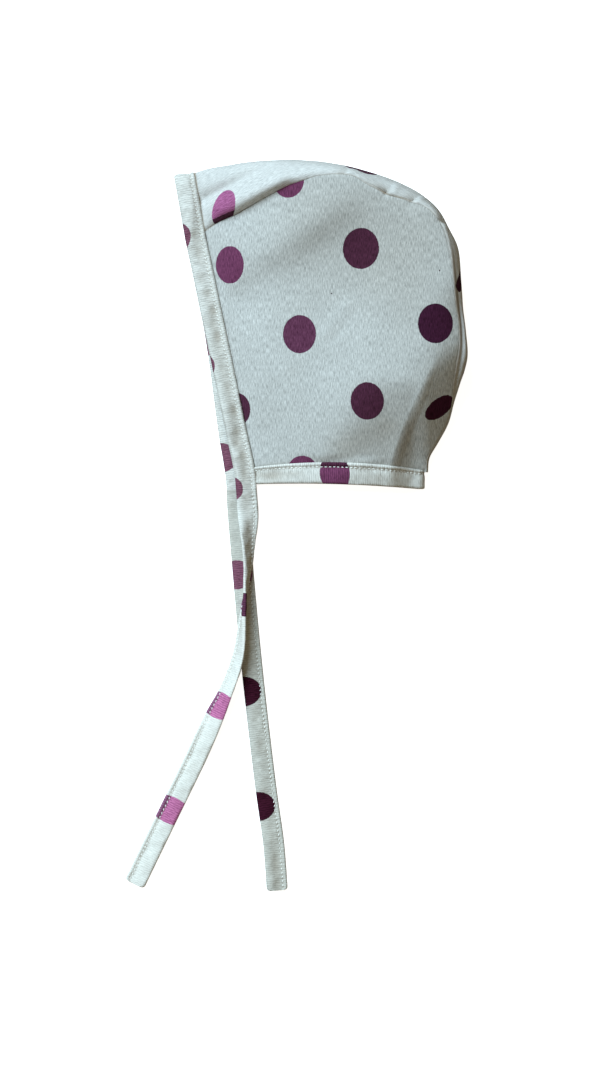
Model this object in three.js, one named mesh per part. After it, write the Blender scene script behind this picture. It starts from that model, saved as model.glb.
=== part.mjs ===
// A baby's three-panel bonnet in dotted cotton knit, laid on its right side as on a table.
// Two side panels and a tapering centre panel make the hollow crown. One folded band runs
// round the face edge and goes on as the two ties, and a second band binds the neck edge.
// Millimetres, +Z up. The brow points to -X and the neck edge to -Y. The origin is under the
// middle of the bonnet without its ties, on the surface that it lies on.
import * as THREE from "three";

// Driving dimensions
const clothThickness = 1.2;
const bandThickness = 2.2;
const faceBandWidth = 10.6;
const tieWidth = 10.6;
const tieThickness = 1.8;
const pieceGap = 0.3; // between two pieces that meet edge to edge
const rimClear = 0.35; // more room at the face and neck edges, where the cloth leans
const roundness = 1.62; // of the centre panel between its two seams; 1.66 is an ellipse
const foldRound = 3.2; // what more it swings out where it is folded flat at the brow

// How finely each piece is faceted
const panelSteps = 24;
const centreSteps = { along: 42, across: 14 };
const faceBandSteps = { side: 16, brow: 18 };
const neckBandSteps = { side: 16, turn: 6 };
const tieSteps = 48;

const cloth = { cream: 0xe9e6dc };

// Levels of the upper side, one row for each height on the bonnet (y), from the neck edge to
// the crown: the face edge, the ridge where the cloth is highest, and the back edge.
const levels = [
  { y: -82, frontX: -32.3, frontZ: 4.0, ridgeX: 33.0, ridgeZ: 21, backX: 52.0, backZ: 8.0 },
  { y: -70, frontX: -33.7, frontZ: 4.2, ridgeX: 34.5, ridgeZ: 25, backX: 53.0, backZ: 8.5 },
  { y: -55, frontX: -36.9, frontZ: 4.8, ridgeX: 39.0, ridgeZ: 30, backX: 59.4, backZ: 11.0 },
  { y: -40, frontX: -40.0, frontZ: 5.5, ridgeX: 45.5, ridgeZ: 35, backX: 64.7, backZ: 19.0 },
  { y: -25, frontX: -43.1, frontZ: 6.1, ridgeX: 52.5, ridgeZ: 39, backX: 66.2, backZ: 32.0 },
  { y: -10, frontX: -46.3, frontZ: 6.5, ridgeX: 58.0, ridgeZ: 42, backX: 68.2, backZ: 41.0 },
  { y: 10, frontX: -50.5, frontZ: 6.4, ridgeX: 61.0, ridgeZ: 44, backX: 66.8, backZ: 43.5 },
  { y: 30, frontX: -54.7, frontZ: 5.6, ridgeX: 60.0, ridgeZ: 44, backX: 65.5, backZ: 43.5 },
  { y: 50, frontX: -58.9, frontZ: 4.8, ridgeX: 55.0, ridgeZ: 43, backX: 62.0, backZ: 42.0 },
  { y: 65, frontX: -61.6, frontZ: 4.2, ridgeX: 47.0, ridgeZ: 41, backX: 60.0, backZ: 39.5 },
  { y: 80, frontX: -64.0, frontZ: 4.0, ridgeX: 38.0, ridgeZ: 39, backX: 58.0, backZ: 37.0 },
];

// Soft folds on the upper side: a crest (height over 0) or a valley from one point to another.
const folds = [
  { name: "brow swell", fromX: -48, fromY: 38, toX: 4, toY: 60, height: 2.2, halfWidth: 12 },
  { name: "cheek hollow", fromX: -20, fromY: 0, toX: 28, toY: 26, height: -1.3, halfWidth: 13 },
  { name: "nape tuck", fromX: 2, fromY: -70, toX: 22, toY: -50, height: -1.7, halfWidth: 6 },
  { name: "nape swell", fromX: 18, fromY: -72, toX: 30, toY: -54, height: 1.0, halfWidth: 7 },
];

// Sections of the centre panel from the brow to the nape: the seam with the upper panel, and
// the outermost line that the cloth folds round. The seam with the lower panel is right under
// the first one. lift is the angle at which the cloth leaves the upper seam, up over a crest
// or down.
const sections = [
  { seamX: -58.3, seamY: 47.2, foldX: -63.5, foldY: 76.2, foldZ: 2.7, lift: 0 },
  { seamX: -51.8, seamY: 51.3, foldX: -55.9, foldY: 78.4, foldZ: 4.4, lift: 14 },
  { seamX: -43.1, seamY: 55.1, foldX: -47.8, foldY: 79.6, foldZ: 6.5, lift: 24 },
  { seamX: -36.9, seamY: 58.7, foldX: -39.3, foldY: 80.8, foldZ: 8.5, lift: 30 },
  { seamX: -29.8, seamY: 62.9, foldX: -30.8, foldY: 81.6, foldZ: 10.5, lift: 34 },
  { seamX: -18.1, seamY: 69.3, foldX: -17.7, foldY: 82.2, foldZ: 13.5, lift: 32 },
  { seamX: -8.9, seamY: 72.0, foldX: -7.8, foldY: 81.6, foldZ: 16.0, lift: 24 },
  { seamX: 0.6, seamY: 74.0, foldX: 2.7, foldY: 80.5, foldZ: 18.0, lift: 12 },
  { seamX: 14.0, seamY: 73.8, foldX: 16.2, foldY: 77.7, foldZ: 20.0, lift: 2 },
  { seamX: 24.4, seamY: 68.1, foldX: 27.6, foldY: 74.3, foldZ: 21.0, lift: 4 },
  { seamX: 34.7, seamY: 63.3, foldX: 38.6, foldY: 70.1, foldZ: 22.0, lift: 2 },
  { seamX: 45.6, seamY: 59.9, foldX: 49.4, foldY: 64.2, foldZ: 22.5, lift: -2 },
  { seamX: 53.8, seamY: 55.8, foldX: 57.5, foldY: 57.0, foldZ: 23.0, lift: -4 },
  { seamX: 59.7, seamY: 48.0, foldX: 63.0, foldY: 47.2, foldZ: 23.5, lift: -6 },
  { seamX: 62.8, seamY: 37.3, foldX: 67.7, foldY: 37.0, foldZ: 24.0, lift: -4 },
  { seamX: 64.6, seamY: 25.9, foldX: 68.9, foldY: 22.5, foldZ: 24.0, lift: 0 },
  { seamX: 66.1, seamY: 11.1, foldX: 69.9, foldY: 9.0, foldZ: 24.0, lift: 0 },
  { seamX: 67.7, seamY: -0.7, foldX: 71.4, foldY: -3.4, foldZ: 23.0, lift: 0 },
  { seamX: 67.9, seamY: -11.5, foldX: 72.3, foldY: -14.8, foldZ: 21.0, lift: 2 },
  { seamX: 66.5, seamY: -20.8, foldX: 71.1, foldY: -22.1, foldZ: 16.5, lift: -6 },
  { seamX: 65.3, seamY: -29.0, foldX: 68.6, foldY: -29.5, foldZ: 12.0, lift: -26 },
  { seamX: 64.6, seamY: -38.7, foldX: 65.9, foldY: -38.8, foldZ: 8.0, lift: -40 },
  { seamX: 62.5, seamY: -48.0, foldX: 63.4, foldY: -48.2, foldZ: 6.0, lift: -30 },
  { seamX: 57.5, seamY: -57.4, foldX: 58.4, foldY: -57.7, foldZ: 5.2, lift: -20 },
  { seamX: 52.9, seamY: -65.4, foldX: 53.8, foldY: -65.8, foldZ: 5.0, lift: -10 },
  { seamX: 52.1, seamY: -72.2, foldX: 53.0, foldY: -72.3, foldZ: 5.0, lift: -10 },
];
const crownCorner = 12 / 25; // where along the seam the upper panel's grid has its corner

// The face edge in plan follows the levels. Its lower layer peeks out below the middle.
const bandEnd = -82; // the height at which the face band becomes the ties
const lowerPeek = { most: 4.7, fromY: -10, toY: -78 };

// The neck edge: two shallow arches in plan, with the neck band between them
const neckTop = { x: 3, y: -68.6, bend: 0.0017 };
const neckLow = { x: -12, y: -79.2, bend: 0.00075 };
const neckTurn = { x: 48.5, bulge: 2.4 };

// Where each tie runs, from the end of its band to its tip: the middle of its width, what
// height it lies on, and how far it is turned over, below 0 with its outer edge going up and
// across. The left tie crosses the right one and turns over on the way.
const leftTie = [
  { x: -37.7, y: -82.9, under: 3.1, turn: 0 },
  { x: -36.9, y: -92.9, under: 2.2, turn: 0 },
  { x: -36.6, y: -101, under: 2.2, turn: -10 },
  { x: -36.6, y: -109, under: 2.2, turn: -38 },
  { x: -36.7, y: -118, under: 2.2, turn: -56 },
  { x: -37.4, y: -126, under: 2.2, turn: -74 },
  { x: -38.2, y: -134, under: 2.2, turn: -88 },
  { x: -39.2, y: -143, under: 2.2, turn: -99 },
  { x: -39.9, y: -152, under: 2.2, turn: -108 },
  { x: -41.0, y: -162, under: 2.2, turn: -116 },
  { x: -43.5, y: -172, under: 2.0, turn: -123 },
  { x: -48.3, y: -184.5, under: 1.2, turn: -131 },
  { x: -53.6, y: -196, under: 0.5, turn: -152 },
  { x: -60.9, y: -212, under: 0, turn: -176 },
  { x: -64.6, y: -220, under: 0, turn: -180 },
  { x: -78.8, y: -249, under: 0, turn: -180 },
  { x: -94.0, y: -280.4, under: 0, turn: -180 },
];
const rightTie = [
  { x: -42.4, y: -82.9, under: 0.2, turn: 0 },
  { x: -41.9, y: -92.9, under: 0, turn: 0 },
  { x: -40.3, y: -112, under: 0, turn: 0 },
  { x: -38.6, y: -132, under: 0, turn: 0 },
  { x: -36.6, y: -154, under: 0, turn: 0 },
  { x: -34.4, y: -176, under: 0, turn: 0 },
  { x: -31.3, y: -204, under: 0, turn: 0 },
  { x: -27.5, y: -235, under: 0, turn: 0 },
  { x: -24.0, y: -260, under: 0, turn: 0 },
  { x: -22.2, y: -283.6, under: 0, turn: 0 },
];

// A row between the rows of a table: every column on a smooth curve through the rows
function rowAt(table, share) {
  const place = THREE.MathUtils.clamp(share, 0, 1) * (table.length - 1);
  const i = Math.min(Math.floor(place), table.length - 2);
  const t = place - i;
  const [before, from, to, after] = [i - 1, i, i + 1, i + 2].map(
    (k) => table[THREE.MathUtils.clamp(k, 0, table.length - 1)],
  );
  const row = {};
  for (const key of Object.keys(from)) {
    if (typeof from[key] !== "number") continue;
    const slopeIn = (to[key] - before[key]) / 2;
    const slopeOut = (after[key] - from[key]) / 2;
    const rise = to[key] - from[key];
    row[key] = from[key] + t * (slopeIn + t * (3 * rise - 2 * slopeIn - slopeOut
      + t * (slopeIn + slopeOut - 2 * rise)));
  }
  return row;
}

// The level at a height, between the two rows that hold it
function levelAt(y) {
  let i = 0;
  while (i < levels.length - 2 && levels[i + 1].y < y) i += 1;
  const within = THREE.MathUtils.clamp((y - levels[i].y) / (levels[i + 1].y - levels[i].y), 0, 1);
  return rowAt(levels, (i + within) / (levels.length - 1));
}

function foldHeight(x, y) {
  let sum = 0;
  for (const f of folds) {
    const alongX = f.toX - f.fromX;
    const alongY = f.toY - f.fromY;
    const length = Math.hypot(alongX, alongY);
    const s = ((x - f.fromX) * alongX + (y - f.fromY) * alongY) / (length * length);
    const side = ((x - f.fromX) * alongY - (y - f.fromY) * alongX) / length;
    const past = Math.max(0, -s, s - 1) * length;
    sum += f.height * Math.exp(-(side * side + past * past) / (f.halfWidth * f.halfWidth));
  }
  return sum;
}

// The middle of the upper side's cloth above the table: it rises from the face edge to the
// ridge, levelling off, and drops from the ridge to the back seam.
function upperHeight(x, y) {
  const row = levelAt(y);
  if (x > row.ridgeX) {
    const v = Math.min(1.1, (x - row.ridgeX) / (row.backX - row.ridgeX));
    return row.ridgeZ - (row.ridgeZ - row.backZ) * v * v + foldHeight(x, y);
  }
  const u = Math.min(1, (row.ridgeX - x) / (row.ridgeX - row.frontX));
  const rise = 1 - (2 * u * u) / (u + 1);
  const fade = THREE.MathUtils.smoothstep(1 - u, 0, 0.12); // no folds at the stiff face edge
  return row.frontZ + (row.ridgeZ - row.frontZ) * rise + foldHeight(x, y) * fade;
}

// The centre panel at one section: from the upper seam round the outermost line to the lower
// seam, and how fast the cloth passes each of the three
function centreSection(along) {
  const row = rowAt(sections, along);
  const upper = new THREE.Vector3(row.seamX, row.seamY, upperHeight(row.seamX, row.seamY));
  const outer = new THREE.Vector3(row.foldX, row.foldY, row.foldZ);
  const lower = new THREE.Vector3(row.seamX, row.seamY, clothThickness / 2 + 0.1);
  const outward = new THREE.Vector3(row.foldX - row.seamX, row.foldY - row.seamY, 0).normalize();
  const width = Math.hypot(row.foldX - row.seamX, row.foldY - row.seamY);
  const lift = THREE.MathUtils.degToRad(row.lift);
  const leave = outward.clone().multiplyScalar(Math.cos(lift)).setZ(Math.sin(lift));
  const swing = (depth) => new THREE.Vector3(0, 0, -roundness * depth - foldRound);
  return {
    upper, outer, lower, outward,
    leave: leave.multiplyScalar(roundness * width),
    swingIn: swing(upper.z - outer.z),
    swingOut: swing(outer.z - lower.z),
    arrive: outward.clone().multiplyScalar(-roundness * width),
  };
}

// across runs from the upper seam (0) round the outermost line (0.5) to the lower seam (1)
function centrePoint(along, across) {
  const s = centreSection(along);
  return across < 0.5
    ? hermite(s.upper, s.leave, s.outer, s.swingIn, across * 2)
    : hermite(s.outer, s.swingOut, s.lower, s.arrive, across * 2 - 1);
}

function hermite(from, leave, to, arrive, t) {
  const t2 = t * t;
  const t3 = t2 * t;
  return new THREE.Vector3()
    .addScaledVector(from, 2 * t3 - 3 * t2 + 1)
    .addScaledVector(leave, t3 - 2 * t2 + t)
    .addScaledVector(to, 3 * t2 - 2 * t3)
    .addScaledVector(arrive, t3 - t2);
}

// How far the cloth on each side stops short of the upper seam, so that two walls of one
// thickness keep a small gap at whatever angle they meet
function seamInset(along) {
  const { upper, leave, outward } = centreSection(along);
  const inward = outward.clone().negate();
  inward.z = upperHeight(upper.x + inward.x, upper.y + inward.y) - upper.z;
  const half = inward.angleTo(leave) / 2;
  return Math.min(1.4, clothThickness / 2 / Math.tan(half) + 1.5 * pieceGap);
}

// The face edge in plan, and the direction across the band and away from the panels
const faceEdgeX = (y) => levelAt(y).frontX;
const lowerFaceX = (y) => faceEdgeX(y)
  - lowerPeek.most * THREE.MathUtils.smoothstep(-y, -lowerPeek.fromY, -lowerPeek.toY);
const bandOut = (y, edgeX) => new THREE.Vector3(-1, (edgeX(y + 1) - edgeX(y - 1)) / 2, 0).normalize();

const archY = (arch, x) => arch.y - arch.bend * (x - arch.x) ** 2;

// A closed wall between two matching grids of points, with a rim all round
function wallBetween(outside, inside) {
  const rows = outside.length;
  const cols = outside[0].length;
  const position = [];
  for (const skin of [outside, inside]) {
    for (const row of skin) {
      for (const p of row) position.push(p.x, p.y, p.z);
    }
  }
  const index = [];
  const at = (skin, i, j) => skin * rows * cols + i * cols + j;
  const quad = (a, b, c, d) => index.push(a, b, c, a, c, d);
  for (let i = 0; i < rows - 1; i += 1) {
    for (let j = 0; j < cols - 1; j += 1) {
      quad(at(0, i, j), at(0, i + 1, j), at(0, i + 1, j + 1), at(0, i, j + 1));
      quad(at(1, i, j), at(1, i, j + 1), at(1, i + 1, j + 1), at(1, i + 1, j));
    }
    quad(at(0, i, 0), at(1, i, 0), at(1, i + 1, 0), at(0, i + 1, 0));
    quad(at(0, i, cols - 1), at(0, i + 1, cols - 1), at(1, i + 1, cols - 1), at(1, i, cols - 1));
  }
  for (let j = 0; j < cols - 1; j += 1) {
    quad(at(0, 0, j), at(0, 0, j + 1), at(1, 0, j + 1), at(1, 0, j));
    quad(at(0, rows - 1, j), at(1, rows - 1, j), at(1, rows - 1, j + 1), at(0, rows - 1, j + 1));
  }
  return closedGeometry(position, index);
}

// The geometry with its faces turned out, whichever way round they were listed
function closedGeometry(position, index) {
  const corner = (k) => new THREE.Vector3().fromArray(position, index[k] * 3);
  let volume = 0;
  for (let k = 0; k < index.length; k += 3) {
    volume += corner(k).dot(corner(k + 1).cross(corner(k + 2)));
  }
  if (volume < 0) index.reverse();
  const geometry = new THREE.BufferGeometry();
  geometry.setAttribute("position", new THREE.Float32BufferAttribute(position, 3));
  geometry.setIndex(index);
  geometry.computeVertexNormals();
  return geometry;
}

// A wall of one thickness whose middle is the grid
function wallAround(middle, thickness) {
  const last = { i: middle.length - 1, j: middle[0].length - 1 };
  const skin = (offset) => middle.map((row, i) => row.map((p, j) => {
    const alongI = middle[Math.min(i + 1, last.i)][j].clone().sub(middle[Math.max(i - 1, 0)][j]);
    const alongJ = row[Math.min(j + 1, last.j)].clone().sub(row[Math.max(j - 1, 0)]);
    return p.clone().addScaledVector(alongI.cross(alongJ).normalize(), offset);
  }));
  return wallBetween(skin(thickness / 2), skin(-thickness / 2));
}

const grid = (rows, cols, point) => Array.from({ length: rows + 1 }, (_, i) =>
  Array.from({ length: cols + 1 }, (_, j) => point(i / rows, j / cols)));

// The upper side panel: a grid in plan between the face edge, the neck edge and the seam,
// which is its top side as far as the crown corner and its back side from there
function sidePanelLeft() {
  const seam = (along) => {
    const { upper, outward } = centreSection(along);
    return new THREE.Vector2(upper.x, upper.y).addScaledVector(outward, -seamInset(along));
  };
  const neckAt = (x) => archY(neckTop, x) + 1.5 * pieceGap + rimClear;
  const nape = seam(1);
  const brow = seam(0);
  const face = (t) => {
    const y = THREE.MathUtils.lerp(neckAt(-33.5), brow.y, t);
    return new THREE.Vector2(faceEdgeX(y) + pieceGap + rimClear, y);
  };
  const neck = (s) => {
    const x = THREE.MathUtils.lerp(face(0).x, nape.x, s);
    return new THREE.Vector2(x, neckAt(x));
  };
  const top = (s) => (s === 0 ? face(1) : seam(0.012 + (crownCorner - 0.012) * s));
  const back = (t) => (t === 0 ? neck(1) : seam(1 - (1 - crownCorner) * t));
  const middle = grid(panelSteps, panelSteps, (s, t) => {
    const p = neck(s).multiplyScalar(1 - t).addScaledVector(top(s), t);
    p.addScaledVector(face(t), 1 - s).addScaledVector(back(t), s);
    p.addScaledVector(neck(0), -(1 - s) * (1 - t)).addScaledVector(top(0), -(1 - s) * t);
    p.addScaledVector(neck(1), -s * (1 - t)).addScaledVector(top(1), -s * t);
    return new THREE.Vector3(p.x, p.y, upperHeight(p.x, p.y));
  });
  return wallAround(middle, clothThickness);
}

// The lower side panel, pressed flat by lying on it
function sidePanelRight() {
  const outline = [];
  for (let k = 0; k <= centreSteps.along; k += 1) {
    const { lower, outward } = centreSection(k / centreSteps.along);
    outline.push(new THREE.Vector2(lower.x, lower.y).addScaledVector(outward, -1.5 * pieceGap));
  }
  const nape = outline[outline.length - 1];
  const neckAt = (x) => archY(neckTop, x) + 1.5 * pieceGap;
  const cheekX = lowerFaceX(neckAt(-38)) + 1.5 * pieceGap;
  for (let s = 0; s <= 1; s += 1 / 8) {
    const x = THREE.MathUtils.lerp(nape.x - 0.4, cheekX, s);
    outline.push(new THREE.Vector2(x, neckAt(x)));
  }
  for (let t = 1 / 12; t < 1; t += 1 / 12) {
    const y = THREE.MathUtils.lerp(neckAt(cheekX), outline[0].y, t);
    outline.push(new THREE.Vector2(lowerFaceX(y) + 1.5 * pieceGap, y));
  }
  return new THREE.ExtrudeGeometry(new THREE.Shape(outline), {
    depth: clothThickness, bevelEnabled: false,
  });
}

function centrePanel() {
  const middle = grid(centreSteps.along, centreSteps.across, (s, w) => {
    const along = THREE.MathUtils.lerp(0.004, 0.996, s);
    const { upper, leave, arrive } = centreSection(along);
    const from = seamInset(along) / (2 * leave.length());
    const to = 1 - (1.5 * pieceGap) / (2 * arrive.length());
    // closer steps where the cloth bends most: at the fold of the brow, at the seams elsewhere
    const crowd = THREE.MathUtils.lerp(-0.5, 0.6, THREE.MathUtils.smoothstep(upper.z, 6, 30));
    const step = w - (crowd * Math.sin(2 * Math.PI * w)) / (2 * Math.PI);
    return centrePoint(along, THREE.MathUtils.lerp(from, to, step));
  });
  return wallAround(middle, clothThickness);
}

// The band round the face edge: up the left side, over the folded brow, down the right side
function faceBand() {
  const browY = sections[0].seamY;
  const overLower = bandThickness * 1.5 + pieceGap; // the least height of the upper layer's middle
  const middle = [];
  const add = (p, edgeX, outerZ) => {
    const out = bandOut(Math.min(p.y, 76), edgeX);
    const outer = p.clone().addScaledVector(out, faceBandWidth);
    outer.z = outerZ;
    middle.push([p.clone().addScaledVector(out, pieceGap / 2), outer]);
  };
  for (let k = 0; k < faceBandSteps.side; k += 1) {
    const y = THREE.MathUtils.lerp(bandEnd, browY, k / faceBandSteps.side);
    const p = new THREE.Vector3(faceEdgeX(y), y, Math.max(levelAt(y).frontZ, overLower));
    add(p, faceEdgeX, overLower);
  }
  for (let k = 0; k <= faceBandSteps.brow; k += 1) {
    const p = centrePoint(0, k / faceBandSteps.brow);
    const low = k < faceBandSteps.brow * 0.45 ? overLower : bandThickness / 2;
    p.z = Math.max(p.z, low);
    add(p, faceEdgeX, p.z);
  }
  for (let k = 1; k <= faceBandSteps.side; k += 1) {
    const y = THREE.MathUtils.lerp(browY, bandEnd, k / faceBandSteps.side);
    add(new THREE.Vector3(lowerFaceX(y), y, bandThickness / 2), lowerFaceX, bandThickness / 2);
  }
  return wallAround(middle, bandThickness);
}

// The band round the neck edge: along the upper side, round the nape, back along the table
function neckBand() {
  const flatZ = bandThickness / 2;
  const rowsY = (x, w) => THREE.MathUtils.lerp(archY(neckTop, x), archY(neckLow, x), w);
  const point = (edgeX, s, w, height) => {
    const from = edgeX(rowsY(-34, w)) + 2 * pieceGap;
    const x = THREE.MathUtils.lerp(from, neckTurn.x, s);
    const y = rowsY(x, w);
    return new THREE.Vector3(x, y, height(x, y));
  };
  const middle = [];
  for (let k = 0; k <= neckBandSteps.side; k += 1) {
    const s = k / neckBandSteps.side;
    middle.push([0, 0.5, 1].map((w) => point(faceEdgeX, s, w, upperHeight)));
  }
  for (let k = 1; k < neckBandSteps.turn; k += 1) {
    const angle = (Math.PI * k) / neckBandSteps.turn;
    middle.push([0, 0.5, 1].map((w) => {
      const p = point(faceEdgeX, 1, w, upperHeight);
      p.z = (p.z + flatZ) / 2 + ((p.z - flatZ) / 2) * Math.cos(angle);
      p.x += Math.sin(angle) * neckTurn.bulge;
      return p;
    }));
  }
  for (let k = neckBandSteps.side; k >= 0; k -= 1) {
    const s = k / neckBandSteps.side;
    middle.push([0, 0.5, 1].map((w) => point(lowerFaceX, s, w, () => flatZ)));
  }
  return wallAround(middle, bandThickness);
}

// A flat tie swept along its route, with an eight-sided section that turns as the route says
function tie(route) {
  const half = { w: tieWidth / 2, t: tieThickness / 2, cut: 0.45 };
  const section = [
    [-half.w + half.cut, -half.t], [half.w - half.cut, -half.t], [half.w, -half.t + half.cut],
    [half.w, half.t - half.cut], [half.w - half.cut, half.t], [-half.w + half.cut, half.t],
    [-half.w, half.t - half.cut], [-half.w, -half.t + half.cut],
  ];
  const place = (share) => {
    const row = rowAt(route, share);
    const turn = THREE.MathUtils.degToRad(row.turn);
    const stand = half.w * Math.abs(Math.sin(turn)) + half.t * Math.abs(Math.cos(turn));
    const z = Math.max(0, row.under) + stand;
    return { centre: new THREE.Vector3(row.x, row.y, z), turn };
  };
  const rings = Array.from({ length: tieSteps + 1 }, (_, k) => {
    const { centre, turn } = place(k / tieSteps);
    const ahead = place(Math.min(1, (k + 0.2) / tieSteps)).centre
      .sub(place(Math.max(0, (k - 0.2) / tieSteps)).centre).setZ(0).normalize();
    const across = new THREE.Vector3(-ahead.y, ahead.x, 0).applyAxisAngle(ahead, turn);
    const up = new THREE.Vector3().crossVectors(ahead, across);
    return section.map(([w, t]) => centre.clone().addScaledVector(across, w).addScaledVector(up, t));
  });
  const position = rings.flat().flatMap((p) => p.toArray());
  const sides = section.length;
  const index = [];
  const at = (k, m) => k * sides + (m % sides);
  for (let k = 0; k < tieSteps; k += 1) {
    for (let m = 0; m < sides; m += 1) {
      index.push(at(k, m), at(k, m + 1), at(k + 1, m + 1), at(k, m), at(k + 1, m + 1), at(k + 1, m));
    }
  }
  for (let m = 1; m < sides - 1; m += 1) {
    index.push(at(0, 0), at(0, m + 1), at(0, m));
    index.push(at(tieSteps, 0), at(tieSteps, m), at(tieSteps, m + 1));
  }
  return closedGeometry(position, index);
}

const bonnet = new THREE.Group();
const addPiece = (name, geometry, colour = cloth.cream) => {
  const material = new THREE.MeshStandardMaterial({ color: colour, roughness: 0.9, metalness: 0 });
  const mesh = new THREE.Mesh(geometry, material);
  mesh.name = name;
  bonnet.add(mesh);
};
addPiece("side_panel_left", sidePanelLeft());
addPiece("side_panel_right", sidePanelRight());
addPiece("centre_panel", centrePanel());
addPiece("face_band", faceBand());
addPiece("neck_band", neckBand());
addPiece("tie_left", tie(leftTie));
addPiece("tie_right", tie(rightTie));

export default bonnet;
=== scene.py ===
import math

import bpy
import numpy as np
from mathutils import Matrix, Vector


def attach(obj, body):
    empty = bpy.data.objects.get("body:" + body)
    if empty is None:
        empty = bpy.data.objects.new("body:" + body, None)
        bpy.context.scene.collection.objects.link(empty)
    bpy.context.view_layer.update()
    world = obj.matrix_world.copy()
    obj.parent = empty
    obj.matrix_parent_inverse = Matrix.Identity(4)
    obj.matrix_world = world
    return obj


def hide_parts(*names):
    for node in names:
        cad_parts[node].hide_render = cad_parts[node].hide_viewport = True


# A baby's bonnet in dotted cotton jersey, laid flat on its right side and seen from straight above.
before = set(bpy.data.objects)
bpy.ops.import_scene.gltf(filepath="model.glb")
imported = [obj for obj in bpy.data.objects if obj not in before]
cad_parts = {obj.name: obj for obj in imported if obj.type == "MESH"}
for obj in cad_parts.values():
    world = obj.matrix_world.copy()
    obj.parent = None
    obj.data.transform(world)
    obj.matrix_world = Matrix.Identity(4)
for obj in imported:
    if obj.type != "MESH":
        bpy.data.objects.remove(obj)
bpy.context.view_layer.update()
mm = 0.001  # everything is worked out in millimetres and made in metres
print("frame loaded:", len(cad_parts), "nodes")

# Camera
viewpoint = {
    "x": -10.75, "y": -104.0, "height": 3015.0,
    "level": 15.0,  # the height at which the picture's long side takes in pictureLength
    "pictureLength": 533.0, "sensor": 36.0,
}


def newObject(name, data):
    made = bpy.data.objects.new(name, data)
    bpy.context.scene.collection.objects.link(made)
    return made


def placeCamera(v):
    data = bpy.data.cameras.new("overheadCamera")
    data.sensor_width = v["sensor"]
    data.lens = v["sensor"] * (v["height"] - v["level"]) / v["pictureLength"]
    data.clip_start, data.clip_end = 0.05, 20
    camera = newObject("overheadCamera", data)
    camera.location = (v["x"] * mm, v["y"] * mm, v["height"] * mm)
    bpy.context.scene.camera = camera


placeCamera(viewpoint)
print("camera placed")


# Number helpers. A table has named columns, and its rows are steps along a curve.
def table(names, rows):
    return dict(zip(names.split(), np.array(rows, float).T))


# From 0 at low to 1 at high, which may also be the smaller number
def smooth(x, low, high):
    t = np.clip((np.asarray(x, float) - low) / (high - low), 0, 1)
    return t * t * (3 - 2 * t)


def mix(a, b, share):
    return a + (b - a) * share


# 1 where x is 0, falling softly to about a third at a distance of width
def bell(x, width):
    return np.exp(-(x / width) ** 2)


def unit(v):
    return v / np.maximum(np.linalg.norm(v, axis=-1, keepdims=True), 1e-9)


def withZ(xy, z):
    return np.concatenate([xy, np.broadcast_to(z, xy.shape[:-1])[..., None]], -1)


# Steps from 0 to 1, gathered towards both ends, or towards the middle by a share below 0
def crowded(steps, share):
    return steps - share * np.sin(2 * np.pi * steps) / (2 * np.pi)


# The length of a line up to each of its points
def lengthAlong(line):
    return np.concatenate([[0], np.cumsum(np.linalg.norm(np.diff(line, axis=0), axis=-1))])


# The points of a line at places along its length
def pointsAt(places, length, line):
    return np.stack([np.interp(places, length, line[:, k]) for k in range(3)], -1)


# Every column of a table on a smooth curve through its rows, share running from 0 to 1
def rowAt(rows, share):
    last = len(next(iter(rows.values()))) - 1
    place = np.clip(share, 0, 1) * last
    i = np.minimum(np.floor(place).astype(int), last - 1)
    t = place - i
    found = {}
    for key, column in rows.items():
        before, start, end, after = (column[np.clip(i + k, 0, last)] for k in (-1, 0, 1, 2))
        slopeIn, slopeOut, rise = (end - before) / 2, (after - start) / 2, end - start
        found[key] = start + t * (slopeIn + t * (3 * rise - 2 * slopeIn - slopeOut
                                                 + t * (slopeIn + slopeOut - 2 * rise)))
    return found


# Smooth random heights from -1 to 1 on a lattice one unit wide, the same on every run
def softNoise(x, y, seed):
    lattice = np.random.default_rng(seed).uniform(-1, 1, (64, 64))
    i, j = np.floor(x).astype(int), np.floor(y).astype(int)
    a, b = x - i, y - j
    a, b = a * a * (3 - 2 * a), b * b * (3 - 2 * b)
    at = lambda p, q: lattice[(i + p) % 64, (j + q) % 64]
    return mix(mix(at(0, 0), at(1, 0), a), mix(at(0, 1), at(1, 1), a), b)


# The bonnet's shape, as its solids have it
cloth = {"thickness": 1.2, "roundness": 1.62, "foldRound": 3.2, "crownCorner": 12 / 25}
band = {
    "thickness": 2.2, "faceWidth": 10.6, "tieWidth": 10.6, "tieThickness": 1.8, "end": -82.0, "gap": 0.3,
}
lowerPeek = {"most": 4.7, "fromY": 12, "toY": -78}
neckTop = {"x": 3, "y": -68.6, "bend": 0.0017}
neckLow = {"x": -12, "y": -79.2, "bend": 0.00075}
neckTurn = {"x": 48.5, "bulge": 2.4, "startAngle": 0.45}

levels = table("y frontX frontZ ridgeX ridgeZ backX backZ", [
    (-82, -32.3, 4.0, 33.0, 21, 52.0, 8.0),
    (-70, -33.7, 4.2, 34.5, 25, 53.0, 8.5),
    (-55, -36.9, 4.8, 39.0, 30, 59.4, 11.0),
    (-40, -40.0, 5.5, 45.5, 35, 64.7, 19.0),
    (-25, -43.1, 6.1, 52.5, 39, 66.2, 32.0),
    (-10, -46.3, 6.5, 58.0, 42, 68.2, 41.0),
    (10, -50.5, 6.4, 61.0, 44, 66.8, 43.5),
    (30, -54.7, 5.6, 60.0, 44, 65.5, 43.5),
    (50, -58.9, 4.8, 55.0, 43, 62.0, 42.0),
    (65, -61.6, 4.2, 47.0, 41, 60.0, 39.5),
    (80, -64.0, 4.0, 38.0, 39, 58.0, 37.0),
])
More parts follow.
